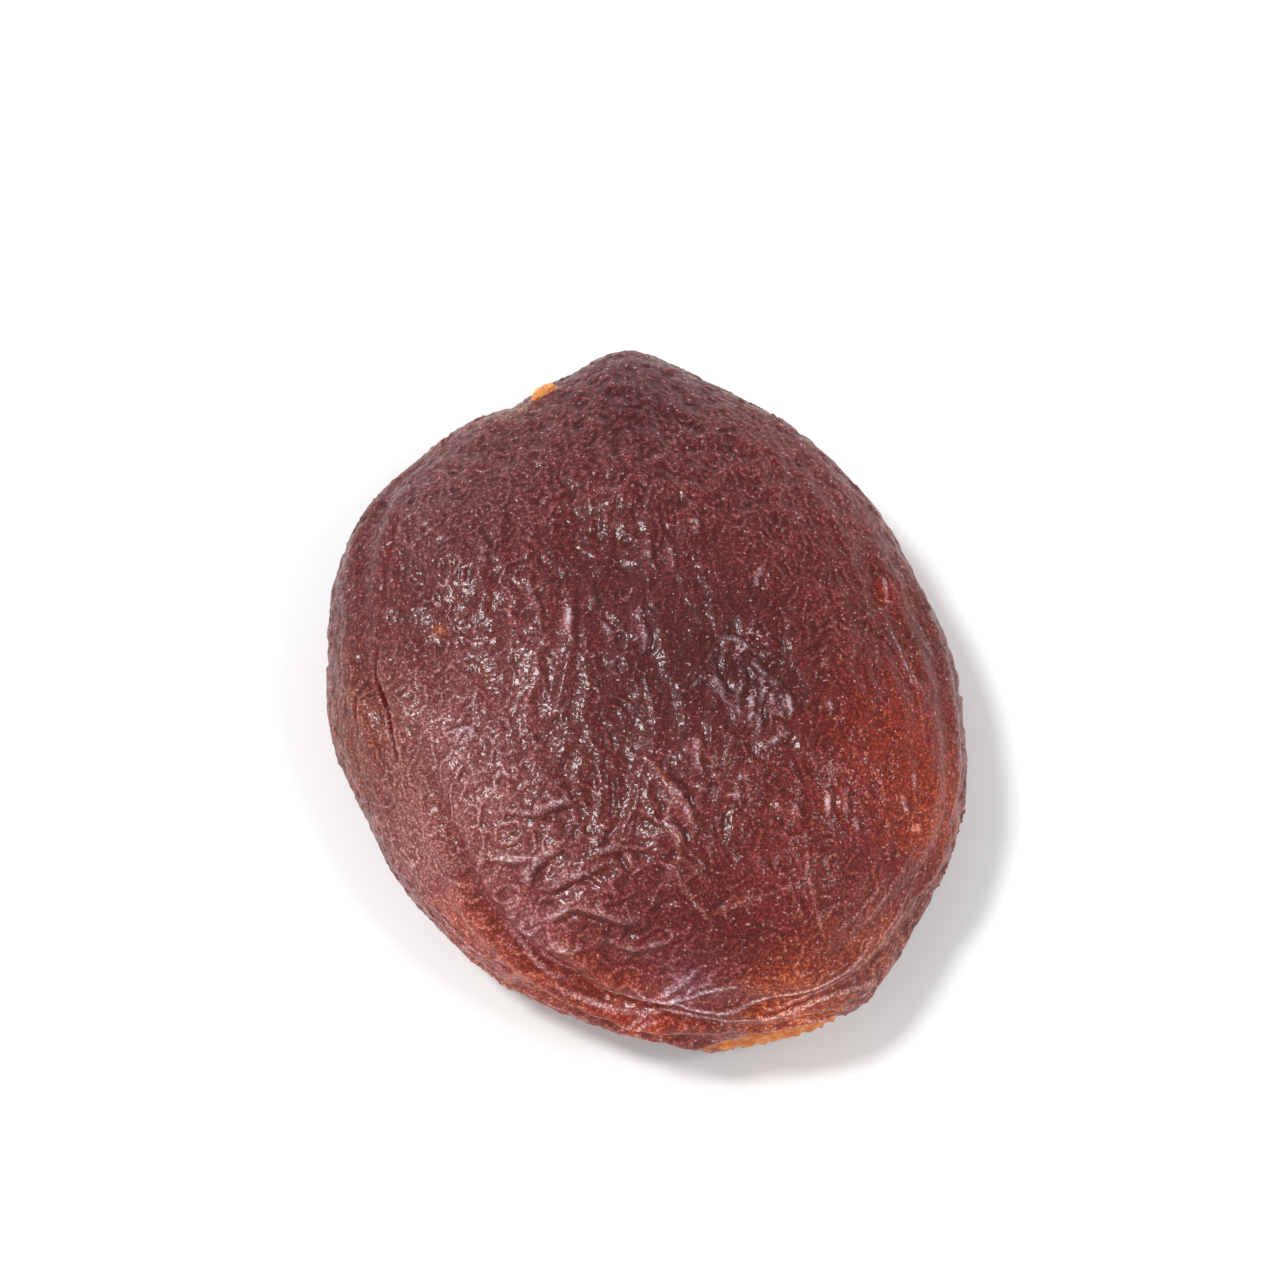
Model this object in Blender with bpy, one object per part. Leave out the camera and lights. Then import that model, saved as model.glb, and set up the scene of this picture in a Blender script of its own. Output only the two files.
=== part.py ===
"""A whole dried apricot: stoned, pressed into a plump disc and dried brown, with wrinkled leathery skin.

The fruit is one solid. It starts as an icosphere, whose points are laid with equal spacing over the
skin of a smooth disc and are then raised or sunk along its normals by the folds, creases and
wrinkles below. The triangles of its smooth stretches are then merged, so that those left follow the
wrinkles. X runs across the fruit, Y from the tip to the stem end, and it rests on Z = 0. Lengths
here are in millimetres and angles in degrees, anticlockwise from +X seen from above. A level is a
distance along the skin from the widest line: above it on the upper face, below it on the underside.
"""

import math

import bmesh
import bpy
import numpy as np
from mathutils import Vector, noise

MM = 0.001

# The disc: its plan outline, as the radius at equal steps of angle from +X, and its two faces.
OUTLINE_RADII = (17.1, 16.7, 16.4, 16.9, 17.7, 18.4, 19.6, 19.1, 18.7, 18.8, 18.9, 18.1,
                 17.2, 16.5, 16.2, 16.6, 17.0, 17.4, 18.2, 19.4, 19.8, 18.9, 18.3, 17.6)
MEAN_RADIUS = 18.0
DOME_HEIGHT, DOME_SQUARENESS = 6.9, 2.55
BELLY_DEPTH, BELLY_SQUARENESS = 6.2, 2.9

# The hollow under the fruit, where it sank as it dried, and the ring round it, which dips to three
# low places. What stands lower than the cut is pressed flat there.
HOLLOW_DEPTH, HOLLOW_FLOOR_RADIUS, HOLLOW_RADIUS = 2.6, 2.875, 11.5
RING_RADIUS, RING_LEVEL = 5.75, -5.0
LOBES, LOBE_SWING, LOBE_TURN = 3, 0.32, 20.0
FLAT_CUT = 0.45

# The shelf of the lower left rim, below the edge of the dome.
SHELF_ANGLE, SHELF_HALF_ANGLE = 232.0, 38.0
SHELF_LEVEL, SHELF_WIDTH, SHELF_DROP = 2.6, 3.2, 0.9

# The notch at the stem end, the stub of pale flesh that stands beside it, and the blunt top.
NOTCH_ANGLE, NOTCH_HALF_ANGLE, NOTCH_DEPTH = 113.5, 5.0, 0.5
PEAK_ANGLE, PEAK_HALF_ANGLE, PEAK_HEIGHT = 94.5, 8.0, 0.90
STUB_ANGLE, STUB_LEVEL, STUB_RADIUS, STUB_HEIGHT = 108.5, 1.3, 0.75, 1.0

# The torn mouth at the tip, where the stone was pushed out and flesh shows. The floor and the lip
# are given as shares of the distance from its middle to its edge.
MOUTH_ANGLE, MOUTH_HALF_ANGLE = 291.0, 12.5
MOUTH_LEVEL, MOUTH_HALF_HEIGHT = -0.8, 1.9
MOUTH_DEPTH, MOUTH_FLOOR = 0.45, 0.70
LIP_HEIGHT, LIP_PLACE, LIP_WIDTH = 0.18, 1.16, 0.16

# Creases along the rim, each a list of (angle, level, depth) from one end to the other.
RIM_CREASES = {
    "dome_edge": ((196, 6.9, 0), (208, 7.0, 0.35), (219, 6.5, 0.55), (237, 4.9, 0.80), (252, 3.8, 0.90),
                  (262, 3.0, 0.90), (273, 2.9, 0.80), (284, 2.4, 0.50), (294, 1.8, 0.30), (304, 0.9, 0)),
    "left_slit": ((160, 5.4, 0), (170, 5.2, 0.3), (177, 5.2, 0.65), (183, 5.5, 0.75), (189, 5.7, 0.5),
                  (197, 5.3, 0.2), (205, 4.9, 0)),
    "left_shoulder": ((128, 2.6, 0), (142, 3.2, 0.25), (155, 4.4, 0.3), (166, 4.9, 0)),
    "lower_fold": ((244, 1.5, 0), (255, 0.9, 0.40), (265, 0.7, 0.6), (276, 0.9, 0.5), (288, 1.2, 0.35),
                   (297, 1.3, 0)),
    "tip_fold": ((272, 4.6, 0), (282, 3.9, 0.40), (291, 3.4, 0.50), (300, 2.8, 0.50), (308, 1.9, 0.40),
                 (316, 1.2, 0.30), (328, 0.8, 0)),
    "tip_inner_fold": ((296, 5.0, 0), (306, 4.2, 0.20), (316, 3.6, 0.25), (326, 2.9, 0.25), (340, 2.0, 0.15),
                       (352, 1.6, 0)),
    "right_band": ((-62, 1.6, 0), (-42, 2.2, 0.15), (-22, 3.1, 0.25), (-5, 3.7, 0.27), (12, 3.9, 0.24),
                   (30, 3.7, 0.15), (46, 3.3, 0)),
    "right_inner": ((-38, 5.2, 0), (-15, 5.9, 0.10), (8, 6.2, 0.15), (28, 6.0, 0.13), (50, 5.6, 0.10),
                    (72, 5.0, 0)),
    "right_outer": ((-40, 0.7, 0), (-18, 1.3, 0.16), (8, 1.7, 0.20), (32, 1.8, 0.16), (60, 1.6, 0.12),
                    (85, 1.2, 0)),
}

# A crease's section, for a depth of 1: a valley this wide and a soft shoulder on each side of it.
CREASE_WIDTH = 0.62
SHOULDER_HEIGHT, SHOULDER_DISTANCE = 0.35, 2.0

# Further creases round the side and under the rim, laid by a seeded draw.
SIDE_SEED, SIDE_CREASES, SIDE_STEP, SIDE_START_SPREAD = 7, 20, 54.0, 15.0
SIDE_SPANS = (45.0, 105.0)
SIDE_LEVELS = (-7.0, 0.0)
SIDE_DEPTHS = (0.15, 0.40)
SIDE_DRIFT, SIDE_WAVE = 1.4, 0.5
SIDE_SWELL = (0.0, 0.8, 1.0, 0.7, 0.0)

# Folds of the underside, which run from its ring in to the hollow and lean by a few degrees a millimetre.
BELLY_SEED, BELLY_FOLDS, BELLY_ANGLE_SPREAD = 3, 13, 9.0
BELLY_LEAN, BELLY_LEAN_RADIUS = 2.2, 8.0
BELLY_INNER_ENDS, BELLY_OUTER_ENDS = (1.0, 4.5), (9.5, 14.0)
BELLY_INNER_FADE, BELLY_OUTER_FADE = 2.5, 3.0
BELLY_FOLD_WIDTH, BELLY_FOLD_DEPTH, BELLY_FOLD_SHARES = 0.8, 0.45, (0.6, 1.2)

# Short folds on the upper face: the height of each and its line of (x, y) points in plan.
FACE_FOLDS = (
    (0.38, ((-8.6, -7.7), (-7.6, -9.4), (-6.9, -10.6), (-6.0, -11.9))),
    (0.32, ((-7.0, -11.9), (-6.4, -10.4), (-5.4, -9.6), (-4.4, -8.7))),
    (0.32, ((-5.4, -12.2), (-4.2, -11.6), (-2.8, -11.1), (-1.8, -11.4))),
    (0.35, ((-6.2, -13.6), (-5.1, -13.9), (-4.2, -13.2), (-3.1, -13.4), (-1.6, -13.7), (-0.2, -13.8))),
    (0.30, ((-2.0, -15.0), (-0.7, -15.6), (0.6, -15.3), (1.6, -14.9))),
    (0.27, ((-7.5, -4.2), (-6.6, -5.4), (-5.2, -5.9), (-4.1, -5.5))),
    (0.27, ((-3.2, -6.4), (-2.4, -7.6), (-1.4, -8.4), (-1.1, -9.6))),
    (0.27, ((1.4, -5.2), (1.7, -6.8), (2.5, -8.2), (2.6, -9.8))),
    (0.24, ((4.0, -7.8), (4.3, -9.3), (4.1, -10.8))),
    (0.24, ((6.6, -6.6), (7.0, -8.2), (7.6, -9.4))),
    (0.27, ((3.4, 0.2), (5.2, -0.2), (6.5, -1.1), (7.2, -2.4), (7.1, -3.8))),
    (0.24, ((-5.0, 1.2), (-5.3, -0.6), (-4.8, -2.2))),
    (0.24, ((-0.4, 4.6), (-0.6, 2.6), (-0.2, 0.8))),
    (0.22, ((2.4, 7.0), (2.2, 5.2), (1.7, 3.6))),
    (0.22, ((8.8, 5.6), (9.6, 3.8), (9.9, 1.8))),
)
FACE_FOLD_WIDTH = 0.75
FACE_FOLD_TAPER = 0.12

# Dimples pressed in the upper face: (x, y, radius, depth). Folds and dimples end above this band of levels.
FACE_DIMPLES = (
    (5.4, -0.4, 2.2, 0.35),
    (-3.0, 7.5, 3.4, 0.25),
    (-10.5, 2.0, 3.0, 0.25),
    (2.5, -12.0, 3.0, 0.25),
)
FACE_EDGE = (0.5, 2.5)

# The wrinkles over all the skin: ridges this wide and this many times as long, which wander a little,
# on a low swell. They run along Y on the faces, and along the rim round the side and the tip's upper part.
RIDGE_WIDTH, RIDGE_STRETCH, RIDGE_HEIGHT, RIDGE_SHARPNESS = 1.45, 2.6, 0.27, 2.2
WANDER_SIZE, WANDER = 3.625, 0.7
WANDER_PLACES = (Vector((11.3, 0.0, 0.0)), Vector((0.0, 23.7, 0.0)), Vector((0.0, 0.0, 31.1)))
RIM_BAND = 5.0
TIP_PART, TIP_PART_LEVELS = (-2.0, -9.0), (12.0, 9.0)
SWELL_SIZE, SWELL_HEIGHT, SWELL_PLACE = 6.5, 0.45, Vector((5.0, 9.0, 2.0))

# Edges of the first icosahedron are divided this many times, and then this share of triangles is kept.
DIVISIONS = 48
KEPT_SHARE = 0.25

SKIN_COLOUR = (0.190, 0.058, 0.046, 1.0)
SKIN_ROUGHNESS = 0.45


def clear_scene():
    for thing in list(bpy.data.objects):
        bpy.data.objects.remove(thing, do_unlink=True)


def smooth_step(low, high, value):
    share = np.clip((value - low) / (high - low), 0.0, 1.0)
    return share * share * (3.0 - 2.0 * share)


def bell(distance, width):
    return np.exp(-((distance / width) ** 2))


def angle_between(angle, middle):
    """How far each angle is from the middle one, from -180 to 180."""
    return (angle - middle + 180.0) % 360.0 - 180.0


def through(stations, values, at):
    """A smooth curve through the values at the stations, which are in rising order, read at each place."""
    slopes = np.gradient(values, stations)
    last = np.clip(np.searchsorted(stations, at) - 1, 0, len(stations) - 2)
    step = stations[last + 1] - stations[last]
    share = np.clip((at - stations[last]) / step, 0.0, 1.0)
    start, end = values[last], values[last + 1]
    leave, arrive = slopes[last] * step, slopes[last + 1] * step
    curve = 2.0 * (start - end) + leave + arrive
    bend = 3.0 * (end - start) - 2.0 * leave - arrive
    return ((curve * share + bend) * share + leave) * share + start


def outline_radius(angle):
    """The plan outline's radius at each angle."""
    count = len(OUTLINE_RADII)
    around = range(-2, count + 3)
    stations = np.array(around) * 360.0 / count
    radii = np.array([OUTLINE_RADII[i % count] for i in around])
    radius = through(stations, radii, angle % 360.0)
    notch = NOTCH_DEPTH * bell(angle_between(angle, NOTCH_ANGLE), NOTCH_HALF_ANGLE)
    peak = PEAK_HEIGHT * bell(angle_between(angle, PEAK_ANGLE), PEAK_HALF_ANGLE)
    return radius - notch + peak


def meridian():
    """The disc's section from the top of the dome to the middle of the underside.

    Gives four arrays along it: the share of the skin's area above each point, the plan radius as a
    share of the outline's, the height over the widest line, and the level.
    """
    turn = np.linspace(0.0, math.pi, 2001)
    upper = turn <= math.pi / 2
    power = 2.0 / np.where(upper, DOME_SQUARENESS, BELLY_SQUARENESS)
    share = np.clip(np.sin(turn), 0.0, 1.0) ** power
    height = np.abs(np.cos(turn)) ** power * np.where(upper, DOME_HEIGHT, -BELLY_DEPTH)
    steps = np.hypot(np.diff(share * MEAN_RADIUS), np.diff(height))
    travelled = np.concatenate([[0.0], np.cumsum(steps)])
    area = np.concatenate([[0.0], np.cumsum(steps * (share[1:] + share[:-1]))])
    level = np.interp(math.pi / 2, turn, travelled) - travelled
    return area / area[-1], share, height, level


def lay_points(directions):
    """Each direction of the unit sphere laid on the smooth disc, all with equal shares of its skin.

    Gives the points, and each one's angle, level and share of the outline's radius.
    """
    area, shares, heights, levels = meridian()
    above = np.clip((1.0 - directions[:, 2]) / 2.0, 0.0, 1.0)
    share = np.interp(above, area, shares)
    height = np.interp(above, area, heights)
    level = np.interp(above, area, levels)
    angle = np.degrees(np.arctan2(directions[:, 1], directions[:, 0]))
    radius = outline_radius(angle) * share
    height = height + broad_form(angle, level, share * MEAN_RADIUS)
    across, along = radius * np.cos(np.radians(angle)), radius * np.sin(np.radians(angle))
    return np.stack([across, along, height], axis=1), angle, level, share


def broad_form(angle, level, plan_radius):
    """How far the shelf of the rim drops, and the hollow and the ring of the underside rise."""
    on_shelf = bell(angle_between(angle, SHELF_ANGLE), SHELF_HALF_ANGLE)
    shelf = -SHELF_DROP * on_shelf * bell(level - SHELF_LEVEL, SHELF_WIDTH)
    inside = 1.0 - smooth_step(HOLLOW_FLOOR_RADIUS, HOLLOW_RADIUS, plan_radius)
    hollow = HOLLOW_DEPTH * inside * (level < 0.0)
    ring = smooth_step(RING_RADIUS, HOLLOW_RADIUS, plan_radius) * smooth_step(0.0, RING_LEVEL, level)
    lobes = -LOBE_SWING * ring * np.cos(np.radians(LOBES * (angle - LOBE_TURN)))
    return shelf + hollow + lobes


def crease_section(across, width):
    """The section of a crease of depth 1: a sharp valley between two soft shoulders."""
    shoulders = bell(np.abs(across) - SHOULDER_DISTANCE * width, width)
    return SHOULDER_HEIGHT * shoulders - bell(across, width)


def rim_crease(stations, angle, level):
    """The displacement that one crease of the rim gives."""
    angles, levels, depths = (np.array(column, float) for column in zip(*stations))
    middle = (angles[0] + angles[-1]) / 2.0
    at = middle + angle_between(angle, middle)
    inside = (at > angles[0]) & (at < angles[-1])
    depth = np.where(inside, through(angles, depths, at), 0.0)
    return np.maximum(depth, 0.0) * crease_section(level - through(angles, levels, at), CREASE_WIDTH)


def side_creases():
    """Creases round the side and under the rim, as lists of stations."""
    draw = np.random.default_rng(SIDE_SEED)
    made = []
    for number in range(SIDE_CREASES):
        start = number * SIDE_STEP + draw.uniform(-SIDE_START_SPREAD, SIDE_START_SPREAD)
        span = draw.uniform(*SIDE_SPANS)
        level = draw.uniform(*SIDE_LEVELS)
        drift = draw.uniform(-SIDE_DRIFT, SIDE_DRIFT)
        depth = draw.uniform(*SIDE_DEPTHS)
        wave = draw.uniform(-SIDE_WAVE, SIDE_WAVE, len(SIDE_SWELL))
        stations = []
        for place, swell in enumerate(SIDE_SWELL):
            share = place / (len(SIDE_SWELL) - 1)
            stations.append((start + span * share, level + drift * (share - 0.5) + wave[place], depth * swell))
        made.append(stations)
    return made


def belly_folds(angle, plan_radius):
    """Folds of the underside, which run from its ring in to the hollow."""
    draw = np.random.default_rng(BELLY_SEED)
    total = np.zeros_like(angle)
    for number in range(BELLY_FOLDS):
        middle = 360.0 * number / BELLY_FOLDS + draw.uniform(-BELLY_ANGLE_SPREAD, BELLY_ANGLE_SPREAD)
        lean = draw.uniform(-BELLY_LEAN, BELLY_LEAN)
        inner, outer = draw.uniform(*BELLY_INNER_ENDS), draw.uniform(*BELLY_OUTER_ENDS)
        depth = BELLY_FOLD_DEPTH * draw.uniform(*BELLY_FOLD_SHARES)
        turned = angle_between(angle, middle + lean * (plan_radius - BELLY_LEAN_RADIUS))
        across = np.radians(turned) * plan_radius
        begins = smooth_step(inner, inner + BELLY_INNER_FADE, plan_radius)
        ends = smooth_step(outer - BELLY_OUTER_FADE, outer, plan_radius)
        total += depth * begins * (1.0 - ends) * crease_section(across, BELLY_FOLD_WIDTH)
    return total


def distance_to_line(points, line):
    """The plan distance from each point to a line of (x, y) points, and how far along it the nearest is."""
    best = np.full(len(points), np.inf)
    place = np.zeros(len(points))
    for number, (start, end) in enumerate(zip(line[:-1], line[1:])):
        start, run = np.array(start), np.array(end) - np.array(start)
        share = np.clip((points[:, :2] - start) @ run / (run @ run), 0.0, 1.0)
        gap = np.linalg.norm(points[:, :2] - start - share[:, None] * run, axis=1)
        nearer = gap < best
        best = np.where(nearer, gap, best)
        place = np.where(nearer, (number + share) / (len(line) - 1), place)
    return best, place


def face_relief(points, level):
    """The short folds and the dimples of the upper face."""
    total = np.zeros(len(points))
    for height, line in FACE_FOLDS:
        gap, place = distance_to_line(points, line)
        swell = np.sin(math.pi * (FACE_FOLD_TAPER + (1.0 - 2.0 * FACE_FOLD_TAPER) * place))
        total += height * swell * bell(gap, FACE_FOLD_WIDTH)
    for x, y, radius, depth in FACE_DIMPLES:
        total -= depth * bell(np.hypot(points[:, 0] - x, points[:, 1] - y), radius)
    return total * smooth_step(*FACE_EDGE, level)


def stub(angle, level):
    """The stub of flesh at the stem end."""
    across = np.radians(angle_between(angle, STUB_ANGLE)) * outline_radius(angle)
    reach = np.hypot(across, level - STUB_LEVEL) / STUB_RADIUS
    return STUB_HEIGHT * np.exp(-(reach ** 4))


def mouth(angle, level):
    """The torn mouth at the tip: sunk, with a raised lip."""
    turn = angle_between(angle, MOUTH_ANGLE) / MOUTH_HALF_ANGLE
    reach = np.hypot(turn, (level - MOUTH_LEVEL) / MOUTH_HALF_HEIGHT)
    sunken = MOUTH_DEPTH * (1.0 - smooth_step(MOUTH_FLOOR, 1.0, reach))
    return LIP_HEIGHT * bell(reach - LIP_PLACE, LIP_WIDTH) - sunken


def wrinkles(points, angle, level):
    """The wrinkles of the skin, and the low swell under them."""
    tip_part = smooth_step(*TIP_PART, points[:, 1]) * smooth_step(*TIP_PART_LEVELS, np.abs(level))
    by_rim = np.maximum(bell(level, RIM_BAND), tip_part)
    rim_scale = MEAN_RADIUS / (RIDGE_STRETCH * RIDGE_WIDTH)
    rim_x, rim_y = rim_scale * np.cos(np.radians(angle)), rim_scale * np.sin(np.radians(angle))
    total = np.empty(len(points))
    for i, point in enumerate(points):
        here = Vector(point)
        wander = Vector([WANDER * noise.noise(here / WANDER_SIZE + place) for place in WANDER_PLACES])
        upright = noise.noise(Vector((here.x, here.y / RIDGE_STRETCH, here.z)) / RIDGE_WIDTH + wander)
        along_rim = noise.noise(Vector((rim_x[i], rim_y[i], level[i] / RIDGE_WIDTH)) + wander)
        ridge = 0.5 - min(1.0, RIDGE_SHARPNESS * abs(upright + (along_rim - upright) * by_rim[i]))
        swell = noise.noise(here / SWELL_SIZE + SWELL_PLACE)
        total[i] = RIDGE_HEIGHT * ridge + SWELL_HEIGHT * swell
    return total


def relief(points, angle, level, share):
    """How far the skin stands out of the smooth disc at each point."""
    total = wrinkles(points, angle, level) + face_relief(points, level)
    total += belly_folds(angle, share * MEAN_RADIUS) * (level < 0.0)
    for stations in [*RIM_CREASES.values(), *side_creases()]:
        total += rim_crease(stations, angle, level)
    return total + stub(angle, level) + mouth(angle, level)


def even_sphere():
    """An icosphere whose edges are divided evenly, so that its triangles are all nearly one size."""
    sphere = bmesh.new()
    bmesh.ops.create_icosphere(sphere, subdivisions=1, radius=1.0)
    bmesh.ops.subdivide_edges(sphere, edges=sphere.edges[:], cuts=DIVISIONS - 1, use_grid_fill=True)
    bmesh.ops.triangulate(sphere, faces=sphere.faces[:])
    for corner in sphere.verts:
        corner.co.normalize()
    mesh = bpy.data.meshes.new("fine_skin")
    sphere.to_mesh(mesh)
    sphere.free()
    return mesh


def read_points(mesh, attribute="co"):
    values = np.empty(len(mesh.vertices) * 3, np.float32)
    mesh.vertices.foreach_get(attribute, values)
    return values.reshape(-1, 3).astype(float)


def set_points(mesh, points):
    mesh.vertices.foreach_set("co", (points * MM).astype(np.float32).ravel())
    mesh.update()


def wrinkled_mesh():
    """The whole fruit as one fine mesh, not yet set down."""
    mesh = even_sphere()
    points, angle, level, share = lay_points(read_points(mesh))
    set_points(mesh, points)
    points = points + read_points(mesh, "normal") * relief(points, angle, level, share)[:, None]
    set_points(mesh, points)
    return mesh


def thinned(mesh, collection):
    """The mesh with the triangles of its smooth stretches merged."""
    fine = bpy.data.objects.new("fine_skin", mesh)
    collection.objects.link(fine)
    fine.modifiers.new("thin_out", "DECIMATE").ratio = KEPT_SHARE
    thin = bpy.data.meshes.new_from_object(fine.evaluated_get(bpy.context.evaluated_depsgraph_get()))
    bpy.data.objects.remove(fine, do_unlink=True)
    return thin


def set_down(points):
    """The fruit centred over the origin, with its lowest places pressed flat at height 0."""
    lowest, highest = points.min(axis=0), points.max(axis=0)
    middle = (lowest + highest) / 2.0
    moved = points - np.array([middle[0], middle[1], lowest[2] + FLAT_CUT])
    moved[:, 2] = np.maximum(moved[:, 2], 0.0)
    return moved


def skin_material():
    material = bpy.data.materials.new("dried_skin")
    material.use_nodes = True
    shader = material.node_tree.nodes["Principled BSDF"]
    shader.inputs["Base Color"].default_value = SKIN_COLOUR
    shader.inputs["Roughness"].default_value = SKIN_ROUGHNESS
    shader.inputs["Metallic"].default_value = 0.0
    return material


def build_fruit(collection):
    mesh = thinned(wrinkled_mesh(), collection)
    set_points(mesh, set_down(read_points(mesh) / MM))
    mesh.name = "dried_apricot"
    mesh.shade_smooth()
    mesh.materials.append(skin_material())
    collection.objects.link(bpy.data.objects.new("dried_apricot", mesh))


def main():
    clear_scene()
    collection = bpy.data.collections.new("dried_apricot")
    bpy.context.scene.collection.children.link(collection)
    build_fruit(collection)


main()
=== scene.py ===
"""The looks of a whole dried apricot: its finely wrinkled skin, thin veins, and flesh at both ends.

The skin is one fine mesh in the form of the solid that it stands for, with the solid's own folds,
the ridges that the photo shows and a grown pattern of finer wrinkles. Lengths are in millimetres
until a mesh is written, and angles in degrees, anticlockwise from +X seen from above. A level is a
distance along the skin from the widest line: above it on the upper face, below it on the underside.
A photo place is a pixel of the photo's 1280 square frame.
"""

import math

import bmesh
import bpy
import numpy as np
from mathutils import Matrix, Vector, noise
from mathutils.bvhtree import BVHTree


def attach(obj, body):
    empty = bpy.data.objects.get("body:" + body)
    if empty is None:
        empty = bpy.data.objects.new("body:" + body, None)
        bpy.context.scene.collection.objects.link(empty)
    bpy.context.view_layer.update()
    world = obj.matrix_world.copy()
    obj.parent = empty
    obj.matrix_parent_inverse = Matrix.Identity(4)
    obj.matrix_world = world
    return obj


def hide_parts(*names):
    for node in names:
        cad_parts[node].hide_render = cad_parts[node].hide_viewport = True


MM = 0.001

# The photo's camera looks along +Y and down on the fruit, from this far off a point near its middle.
PHOTO_SIDE = 1280
LENS, SENSOR = 100.0, 36.0
CAMERA_ELEVATION, CAMERA_DISTANCE = 72.0, 193.0
FRUIT_MIDDLE_HEIGHT = 6.0
AIM_LEFT, AIM_UP = 0.30, 2.62

# The disc: its plan outline, as the radius at equal steps of angle from +X, and its two faces.
OUTLINE_RADII = (17.1, 16.7, 16.4, 16.9, 17.7, 18.4, 19.6, 19.1, 18.7, 18.8, 18.9, 18.1,
                 17.2, 16.5, 16.2, 16.6, 17.0, 17.4, 18.2, 19.4, 19.8, 18.9, 18.3, 17.6)
MEAN_RADIUS = 18.0
DOME_HEIGHT, DOME_SQUARENESS = 6.9, 2.55
BELLY_DEPTH, BELLY_SQUARENESS = 6.2, 2.9

# The hollow under the fruit, where it sank as it dried, and the ring round it, which dips to three
# low places. What stands lower than the cut is pressed flat there.
HOLLOW_DEPTH, HOLLOW_FLOOR_RADIUS, HOLLOW_RADIUS = 2.6, 2.875, 11.5
RING_RADIUS, RING_LEVEL = 5.75, -5.0
LOBES, LOBE_SWING, LOBE_TURN = 3, 0.32, 20.0
FLAT_CUT = 0.45

# The shelf of the lower left rim, below the edge of the dome.
SHELF_ANGLE, SHELF_HALF_ANGLE = 232.0, 38.0
SHELF_LEVEL, SHELF_WIDTH, SHELF_DROP = 2.6, 3.2, 0.9

# The notch at the stem end and the blunt top.
NOTCH_ANGLE, NOTCH_HALF_ANGLE, NOTCH_DEPTH = 113.5, 5.0, 0.5
PEAK_ANGLE, PEAK_HALF_ANGLE, PEAK_HEIGHT = 94.5, 8.0, 0.90

# The torn mouth at the tip, where the stone was pushed out and flesh shows. The floor and the lip
# are given as shares of the distance from its middle to its edge.
MOUTH_ANGLE, MOUTH_HALF_ANGLE = 291.0, 12.5
MOUTH_LEVEL, MOUTH_HALF_HEIGHT = -0.8, 1.9
MOUTH_DEPTH, MOUTH_FLOOR = 0.45, 0.70
LIP_HEIGHT, LIP_PLACE, LIP_WIDTH = 0.18, 1.16, 0.16

# Creases along the rim, each a list of (angle, level, depth) from one end to the other.
RIM_CREASES = {
    "dome_edge": ((196, 6.9, 0), (208, 7.0, 0.25), (219, 6.5, 0.40), (237, 4.9, 0.60), (252, 3.8, 0.70),
                  (262, 3.0, 0.70), (273, 2.9, 0.60), (284, 2.4, 0.45), (294, 1.8, 0.30), (304, 0.9, 0)),
    "left_slit": ((160, 5.4, 0), (170, 5.2, 0.15), (177, 5.2, 0.35), (183, 5.5, 0.40), (189, 5.7, 0.25),
                  (197, 5.3, 0.15), (205, 4.9, 0)),
    "left_shoulder": ((128, 2.6, 0), (142, 3.2, 0.25), (155, 4.4, 0.3), (166, 4.9, 0)),
    "lower_fold": ((244, 1.5, 0), (255, 0.9, 0.40), (265, 0.7, 0.6), (276, 0.9, 0.5), (288, 1.2, 0.35),
                   (297, 1.3, 0)),
    "tip_fold": ((272, 4.6, 0), (282, 3.9, 0.30), (291, 3.4, 0.40), (300, 2.8, 0.40), (308, 1.9, 0.35),
                 (316, 1.2, 0.25), (328, 0.8, 0)),
    "tip_inner_fold": ((296, 5.0, 0), (306, 4.2, 0.10), (316, 3.6, 0.14), (326, 2.9, 0.14), (340, 2.0, 0.10),
                       (352, 1.6, 0)),
    "right_band": ((-62, 1.6, 0), (-42, 2.2, 0.10), (-22, 3.1, 0.15), (-5, 3.7, 0.16), (12, 3.9, 0.14),
                   (30, 3.7, 0.10), (46, 3.3, 0)),
    "right_inner": ((-38, 5.2, 0), (-15, 5.9, 0.06), (8, 6.2, 0.09), (28, 6.0, 0.08), (50, 5.6, 0.06),
                    (72, 5.0, 0)),
    "right_outer": ((-40, 0.7, 0), (-18, 1.3, 0.12), (8, 1.7, 0.15), (32, 1.8, 0.12), (60, 1.6, 0.08),
                    (85, 1.2, 0)),
}

# A crease's section, for a depth of 1: a valley this wide and a soft shoulder on each side of it.
CREASE_WIDTH = 0.62
SHOULDER_HEIGHT, SHOULDER_DISTANCE = 0.35, 2.0

# Further creases round the side and under the rim, laid by a seeded draw.
SIDE_SEED, SIDE_CREASES, SIDE_STEP, SIDE_START_SPREAD = 7, 20, 54.0, 15.0
SIDE_SPANS = (45.0, 105.0)
SIDE_LEVELS = (-7.0, 0.0)
SIDE_DEPTHS = (0.15, 0.40)
SIDE_DRIFT, SIDE_WAVE = 1.4, 0.5
SIDE_SWELL = (0.0, 0.8, 1.0, 0.7, 0.0)

# Folds of the underside, which run from its ring in to the hollow and lean a few degrees a millimetre.
BELLY_SEED, BELLY_FOLDS, BELLY_ANGLE_SPREAD = 3, 13, 9.0
BELLY_LEAN, BELLY_LEAN_RADIUS = 2.2, 8.0
BELLY_INNER_ENDS, BELLY_OUTER_ENDS = (1.0, 4.5), (9.5, 14.0)
BELLY_INNER_FADE, BELLY_OUTER_FADE = 2.5, 3.0
BELLY_FOLD_WIDTH, BELLY_FOLD_DEPTH, BELLY_FOLD_SHARES = 0.8, 0.45, (0.6, 1.2)

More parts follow.
